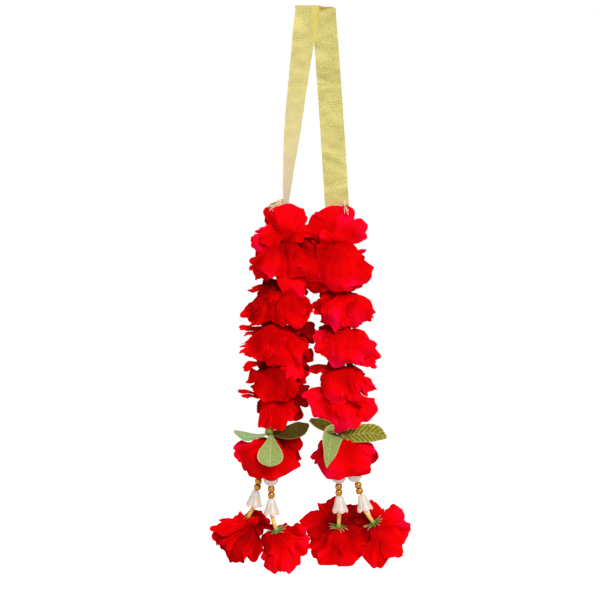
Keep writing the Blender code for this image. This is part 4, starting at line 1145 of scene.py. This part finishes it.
def turned(origin, axis, profile, steps, spread=None):
    """A surface of revolution from (radius, distance) points down an axis, closed along its bore.
    spread(azimuth, radius, distance) may change both."""
    axis = unit(axis)
    a, b = framed(axis)
    azimuth = np.linspace(0, TURN, steps, endpoint=False)[None]
    radius, down = np.array(profile, float).T[..., None] * np.ones_like(azimuth)
    if spread:
        radius, down = spread(azimuth, radius, down)
    loops = origin + (radius * np.cos(azimuth))[..., None] * a + (radius * np.sin(azimuth))[..., None] * b
    return loft(loops + down[..., None] * axis, ring=True)


def make_thread(node, path, radius, finish):
    """A twisted thread of one radius along a smooth curve."""
    skin = tube(spline(path, 60), np.full(60, radius), 10)
    piece(f"{node}_yarn", [skin], finish, [node])


def make_tassel_thread(name, finish):
    """A tassel's thread: from its knot beside the strand's thread to the top of the cap, and down through
    the beads and the bell into the stem."""
    line = tassel_line(name)
    cap_top = middle(f"bud_cap_{name}") - line * 5.5
    bell = middle(f"bell_{name}")
    strand = on_strand(name.split("_")[0], KNOT_HEIGHT)
    knot = strand + np.array([1.8 * np.sign(cap_top[0] - strand[0]), 0, 0])
    bend = (knot + cap_top) / 2 + np.array([0, 0, 0.8])
    path = [knot, bend, cap_top, bell, bell + line * 5, middle(f"stem_{name}")]
    make_thread(f"thread_{name}", path, TASSEL_RADIUS, finish)


def make_strand_calyx(side, number, finish):
    """A small cup of sepals: its rim swings out and in six times round, and its tips point down."""
    node = f"calyx_{side}_{number}"
    low, high = box(node)
    origin = on_strand(side, high[2])
    axis = on_strand(side, low[2]) - origin
    tall = high[2] - low[2]

    def sepals(azimuth, r, d):
        swing = 0.5 * (1 + np.cos(SEPALS * azimuth))
        rim = np.clip((r - 3.0) / 3.0, 0, 1)
        return r * (1 - 0.35 * rim * (1 - swing)), d - 1.2 * rim * (1 - swing)

    shares = ((1.25, 0), (2.3, 0), (2.7, 0.3), (3.4, 0.55), (5.9, 0.9), (5.6, 1), (3.0, 0.8), (1.25, 1))
    profile = [(radius, share * tall) for radius, share in shares]
    piece(f"sepals_{side}_{number}", [turned(origin, axis, profile, 48, sepals)], finish, [node])


def make_bead(name, label, finish):
    """A barrel bead: its radius is a low power of the cosine, so its waist is nearly straight."""
    node = f"bead_{name}_{label}"
    arc = np.radians(np.linspace(62, -62, 17))
    profile = [(BORE, 0.5 - BEAD_HALF)]
    profile += [(BEAD_RADIUS * math.cos(a) ** 0.45, -BEAD_HALF * math.sin(a) / math.sin(arc[0])) for a in arc]
    profile += [(BORE, BEAD_HALF - 0.5)]
    skin = turned(middle(node), tassel_line(name), profile, 32)
    piece(f"gilt_{name}_{label}", [skin], finish, [node])


def make_bell(node, axis, bell, finish):
    """A bell of five long lobes. Its radius swells down its length and rounds in at the foot; each lobe
    bulges across and its rounded end hangs below the clefts, which cut deeper towards the foot. It is
    hollow below."""

    def lobes(azimuth, r, d):
        lobe = np.abs(np.cos(2.5 * azimuth)) ** 0.6
        share = np.clip(d / bell.length, 0, 1)
        grow = np.clip((r - 1.6) / 4.0, 0, 1)
        cleft = 0.2 * bell.length * (1 - lobe) * share**4 * grow
        return r * (1 + 0.04 * grow * lobe - 0.12 * grow * (1 - lobe)), d - cleft

    profile = [(r, d * bell.length) for r, d in bell.outer + bell.inner]
    skin = turned(middle(node) - axis * bell.back, axis, profile, 70, lobes)
    piece(f"acrylic_{node}", [skin], finish, [node])


def make_stem(name, finish):
    """A stem that thins towards its calyx, with a faint wave of moulding; it gives its direction."""
    centre = middle(f"stem_{name}")
    chord = middle(f"calyx_{name}") - centre
    axis = unit(chord)
    half = float(np.linalg.norm(chord)) - CALYX_HALF
    spots = np.linspace(-half, half, 24)
    share = (spots + half) / (2 * half)
    radii = STEM_RADIUS - 0.35 * share + 0.08 * np.sin(spots * 1.9)
    skin = tube(centre + spots[:, None] * axis, radii, 20)
    piece(f"stalk_{name}", [skin], finish, [f"stem_{name}"])
    return axis


def make_tassel_calyx(name, axis, finish):
    """A cup with thin spines that curve out and forward from its rim."""
    node = f"calyx_{name}"
    origin = middle(node) - axis * CALYX_HALF
    profile = ((0.7, 0.0), (2.5, 0.0), (3.2, 0.6), (4.3, 1.7), (4.7, 2.6), (3.6, 3.2), (0.7, 3.3))
    cup = turned(origin, axis, profile, 40)
    skins = [cup._replace(tone=np.full(len(cup.verts), 0.15))]
    a, b = framed(axis)
    rng = np.random.default_rng(sum(map(ord, name)) + 5)
    u = np.linspace(0, 1, 9)
    for k in range(SPINES):
        angle = TURN * k / SPINES + rng.uniform(-0.12, 0.12)
        out = a * math.cos(angle) + b * math.sin(angle)
        long = rng.uniform(7.0, 10.5) * (0.4 if name == "left_outer" else 1)
        lift = rng.uniform(-4.0, 1.5)
        path = origin + axis * 1.6 + out * (3.0 + long * u)[:, None]
        path = path + axis * (lift * u**2 - 0.5 * np.sin(3 * u))[:, None]
        spine = tube(path, 0.7 * (1 - u) ** 0.8 + 0.1, 6)
        skins.append(spine._replace(tone=np.clip(spine.tone * 1.1, 0, 1)))
    piece(f"spines_{name}", skins, finish, [node])


# ---------------------------------------------------------------- leaf sprays

COLLAR_TOP = -441.6
COLLAR_LENGTH = 8.0
COLLAR = (
    (1.25, 0), (4.2, 0), (4.9, 1.2), (5.2, 3.5), (4.9, 6.6), (4.2, COLLAR_LENGTH), (1.25, COLLAR_LENGTH)
)
KNOBS = {"left": (-48.5, -9.5, -441.5), "right": (26.5, -8.5, -447.0)}

# Each leaf: its cloth, middle line and half-widths in mm, the way its upper face looks, the angle of its
# fold, the height of its ribs, how pale its cut edges are, and the distance between its veins.
LEAVES = {
    "left": (
        Leaf(
            "pale",
            ((-47, -8.5, -443), (-53, -10, -445), (-61, -11, -446.5), (-73, -12, -446.4), (-85, -12, -441)),
            (1.0, 1.6, 2.8, 5.4, 1.4), (0, -0.75, 0.66), 0.1, 0.15, 0.4,
        ),
        Leaf(
            "front",
            (
                (-46.5, -10, -445), (-46.5, -19, -447.5), (-46.5, -27, -452.5), (-46.8, -34, -459.5),
                (-47, -37.5, -466), (-47.2, -39.5, -471), (-47.3, -40, -473.6),
            ),
            (1.6, 3.2, 7.0, 12.0, 13.2, 9.2, 0.6), (0, -1, 0.25), 0.14, 0.30, 0.9,
        ),
        Leaf(
            "brown",
            ((-46, -8.5, -444), (-36, -14, -443), (-26, -19, -441), (-15, -21, -437.5), (-7.5, -22, -433)),
            (1.6, 5.6, 8.2, 8.0, 1.6), (0, -0.9, 0.45), 0.20, 0.28, 0.3,
        ),
    ),
    "right": (
        Leaf(
            "dark",
            ((26.5, -8.5, -446), (18, -14, -441), (10, -19, -438), (1, -20, -434), (-7, -20, -429)),
            (1.6, 6.2, 9.2, 8.6, 3.0), (0, -0.8, 0.6), 0.8, 0.25, 0.3,
        ),
        Leaf(
            "front",
            (
                (21, -8.5, -444), (16, -19, -445), (14, -29, -450.5), (13.2, -36, -459),
                (11.5, -38, -467), (10.6, -38.5, -475),
            ),
            (6.5, 12.0, 12.0, 8.8, 5.0, 0.5), (0.25, -1, 0.2), 0.55, 0.35, 0.7,
        ),
        Leaf(
            "ribbed",
            ((26.5, -8.5, -446), (38, -11, -445), (50, -13, -443), (62, -14, -443.5), (73, -14, -447.5)),
            (2.6, 8.2, 9.8, 8.8, 1.4), (0, -0.95, 0.35), 0.16, 0.75, 0.4, 4.8,
        ),
    ),
}


def make_leaf_spray(side, finishes):
    """Collar, knob and three leaves. The leaves are pieces of their own cloth pressed on the knob."""
    node = f"leaf_spray_{side}"
    heart = on_strand(side, COLLAR_TOP)
    axis = on_strand(side, COLLAR_TOP - COLLAR_LENGTH) - heart
    knob = np.array(KNOBS[side])
    start = on_strand(side, knob[2])
    u = np.linspace(0, 1, 14)
    peg = start + (knob + unit(knob - start) * 3.2 - start) * (0.3 + 0.7 * u)[:, None]
    radii = 2.2 + 2.5 * np.sin(np.clip((u - 0.35) / 0.65, 0, 1) * math.pi) ** 0.8
    radii[-1] = 0.6
    stalk = tube(peg, radii, 18)
    # Coloured by height over the knob's olive: painted shade towards the bottom and an orange painted
    # highlight on top.
    stalk = stalk._replace(tone=np.clip((stalk.verts[:, 2] - knob[2]) / 8 + 0.5, 0, 1))
    piece(f"knob_{side}", [turned(heart, axis, COLLAR, 36), stalk], finishes["knob"], [node])
    for number, shape in enumerate(LEAVES[side], 1):
        piece(f"leaf_{side}_{number}", [leaf(shape)], finishes[shape.cloth], [node])


# ---------------------------------------------------------------- build


def make_object():
    """Every finish once, then the ribbon, both strands from top to bottom, and the four tassels."""
    greens = ((0.0, "#3E6A22"), (0.45, "#5C8A34"), (0.8, "#A9B56A"), (1.0, "#E6C9A6"))
    yellows = ((0.0, "#FFD084"), (0.55, "#FECA68"), (0.85, "#F0C250"), (1.0, "#B4AE3C"))
    # The knob's olives: darker for its painted shade below, orange for its painted highlight on top.
    olives = ((0.0, "#4E6A10"), (0.6, "#848A0C"), (0.85, "#A48C14"), (1.0, "#E49038"))
    whites = ((0.0, "#F2F0E8"), (0.35, "#E8E6DC"), (0.62, "#FEEAE4"), (1.0, "#F0DCD4"))
    milks = ((0.0, "#FFFAF2"), (1.0, "#FFF4EA"))
    cloth, thread, gold = petal_cloth(), cotton(), gilt()
    green = moulded("moulded green polyethylene", 0.5, *greens)
    yellow = moulded("moulded yellow polyethylene", 0.42, *yellows)
    frosted = frosted_acrylic("frosted translucent acrylic, moulded", *whites)
    milky = frosted_acrylic("milky translucent acrylic, moulded", *milks)
    leaves = {
        "front": leaf_cloth("pressed leaf cloth, sage side", "#9CB25E", "#7A964C", "#BCB47C", "#C6C88C"),
        "pale": leaf_cloth("pressed leaf cloth, pale side", "#92B272", "#7C9E62", "#A8BC8A", "#B0C490"),
        # The brown and olive leaves are coloured far darker than the other leaves.
        "brown": leaf_cloth("pressed leaf cloth, dark brown", "#4E3E04", "#342400", "#625010", "#4E3E0C"),
        "dark": leaf_cloth("pressed leaf cloth, dark olive", "#6A5C14", "#46300A", "#7E7430", "#5A4A18"),
        "ribbed": leaf_cloth(
            "pressed leaf cloth, ribbed side", "#B4AE44", "#8C8620", "#504808", "#B4B064", 4.8, 0.75
        ),
        "knob": moulded("moulded olive polyethylene", 0.5, *olives),
    }
    make_ribbon(organza(), gold_yarn())
    for side in SIDES:
        make_thread(f"strand_thread_{side}", strand_ends(side), STRAND_RADIUS, thread)
        for number in range(1, 6):
            make_strand_bloom(side, number, cloth)
            make_strand_calyx(side, number, green)
        make_skirt(side, cloth)
        make_leaf_spray(side, leaves)
    for name in TASSELS:
        line = tassel_line(name)
        axis = make_stem(name, yellow)
        make_tassel_thread(name, thread)
        make_bell(f"bud_cap_{name}", -line, CAP, milky)
        make_bell(f"bell_{name}", line, BELL, frosted)
        for label in ("upper", "lower"):
            make_bead(name, label, gold)
        make_tassel_calyx(name, axis, green)
        make_tassel_bloom(name, cloth)


# ---------------------------------------------------------------- studio

# Lengths here are in metres.
CAMERA_DISTANCE = 1.6
CAMERA_ELEVATION = math.radians(2)
CAMERA_TARGET = np.array([-0.0166, 0, -0.3055])
VIEW_WIDTH = 0.624
FLOOR_HALF = 4.0
FLOOR_LEVEL = -0.95


def make_camera():
    """A camera in front of the garland, which looks at its middle from slightly above."""
    data = bpy.data.cameras.new("camera")
    camera = bpy.data.objects.new("camera", data)
    bpy.context.scene.collection.objects.link(camera)
    back = np.array([0, -math.cos(CAMERA_ELEVATION), math.sin(CAMERA_ELEVATION)])
    camera.location = CAMERA_TARGET + CAMERA_DISTANCE * back
    camera.rotation_euler = (math.pi / 2 - CAMERA_ELEVATION, 0, 0)
    data.sensor_width = 36
    data.lens = data.sensor_width * CAMERA_DISTANCE / VIEW_WIDTH
    bpy.context.scene.camera = camera


def make_lamp(name, towards, strength, softness):
    """A distant soft lamp that shines from a direction, softened over an angle in degrees."""
    data = bpy.data.lights.new(name, "SUN")
    data.energy = strength
    data.angle = math.radians(softness)
    lamp = bpy.data.objects.new(name, data)
    bpy.context.scene.collection.objects.link(lamp)
    lamp.location = towards
    lamp.rotation_euler = Vector(towards).to_track_quat("Z", "Y").to_euler()


def seen_or(tree, seen, other):
    """One shader for camera, mirror and see-through rays, another for the rest."""
    rays = 0.0
    for kind in ("Is Camera Ray", "Is Glossy Ray", "Is Transmission Ray"):
        rays = add(tree, "Math", {0: rays, 1: add(tree, "LightPath", {}, kind)}, operation="MAXIMUM")
    return add(tree, "MixShader", {0: rays, 1: other, 2: seen})


def make_studio():
    """A pale room, a matt white floor far below, and three soft lamps."""
    scene = bpy.context.scene
    scene.view_settings.view_transform = "Standard"
    world = bpy.data.worlds.new("studio")
    world.use_nodes = True
    scene.world = world
    tree = world.node_tree
    tree.nodes.clear()
    white = add(tree, "Background", {"Color": (1, 1, 1, 1), "Strength": 1.0})
    room = add(tree, "Background", {"Color": linear("#F4F4F6"), "Strength": 0.2})
    add(tree, "OutputWorld", {"Surface": seen_or(tree, white, room)})
    made, tree = new_material("matt white studio floor")
    paint = add(tree, "BsdfDiffuse", {"Color": linear("#F6F6F6")})
    light = add(tree, "Emission", {"Color": (1, 1, 1, 1), "Strength": 0.3})
    lit = add(tree, "AddShader", {0: paint, 1: light})
    add(tree, "OutputMaterial", {"Surface": seen_or(tree, lit, paint)})
    mesh = bpy.data.meshes.new("floor")
    signs = ((-1, -1), (1, -1), (1, 1), (-1, 1))
    corners = [(FLOOR_HALF * x, FLOOR_HALF * y, FLOOR_LEVEL) for x, y in signs]
    mesh.from_pydata(corners, [], [(0, 1, 2, 3)])
    mesh.materials.append(made)
    floor = bpy.data.objects.new("floor", mesh)
    scene.collection.objects.link(floor)
    make_lamp("key", (0.45, -1.0, 0.8), 3.05, 26)
    make_lamp("fill", (-0.9, -1.2, -0.3), 0.6, 60)
    make_lamp("back", (0.3, 1.3, 0.8), 1.1, 40)


make_object()
make_studio()
make_camera()
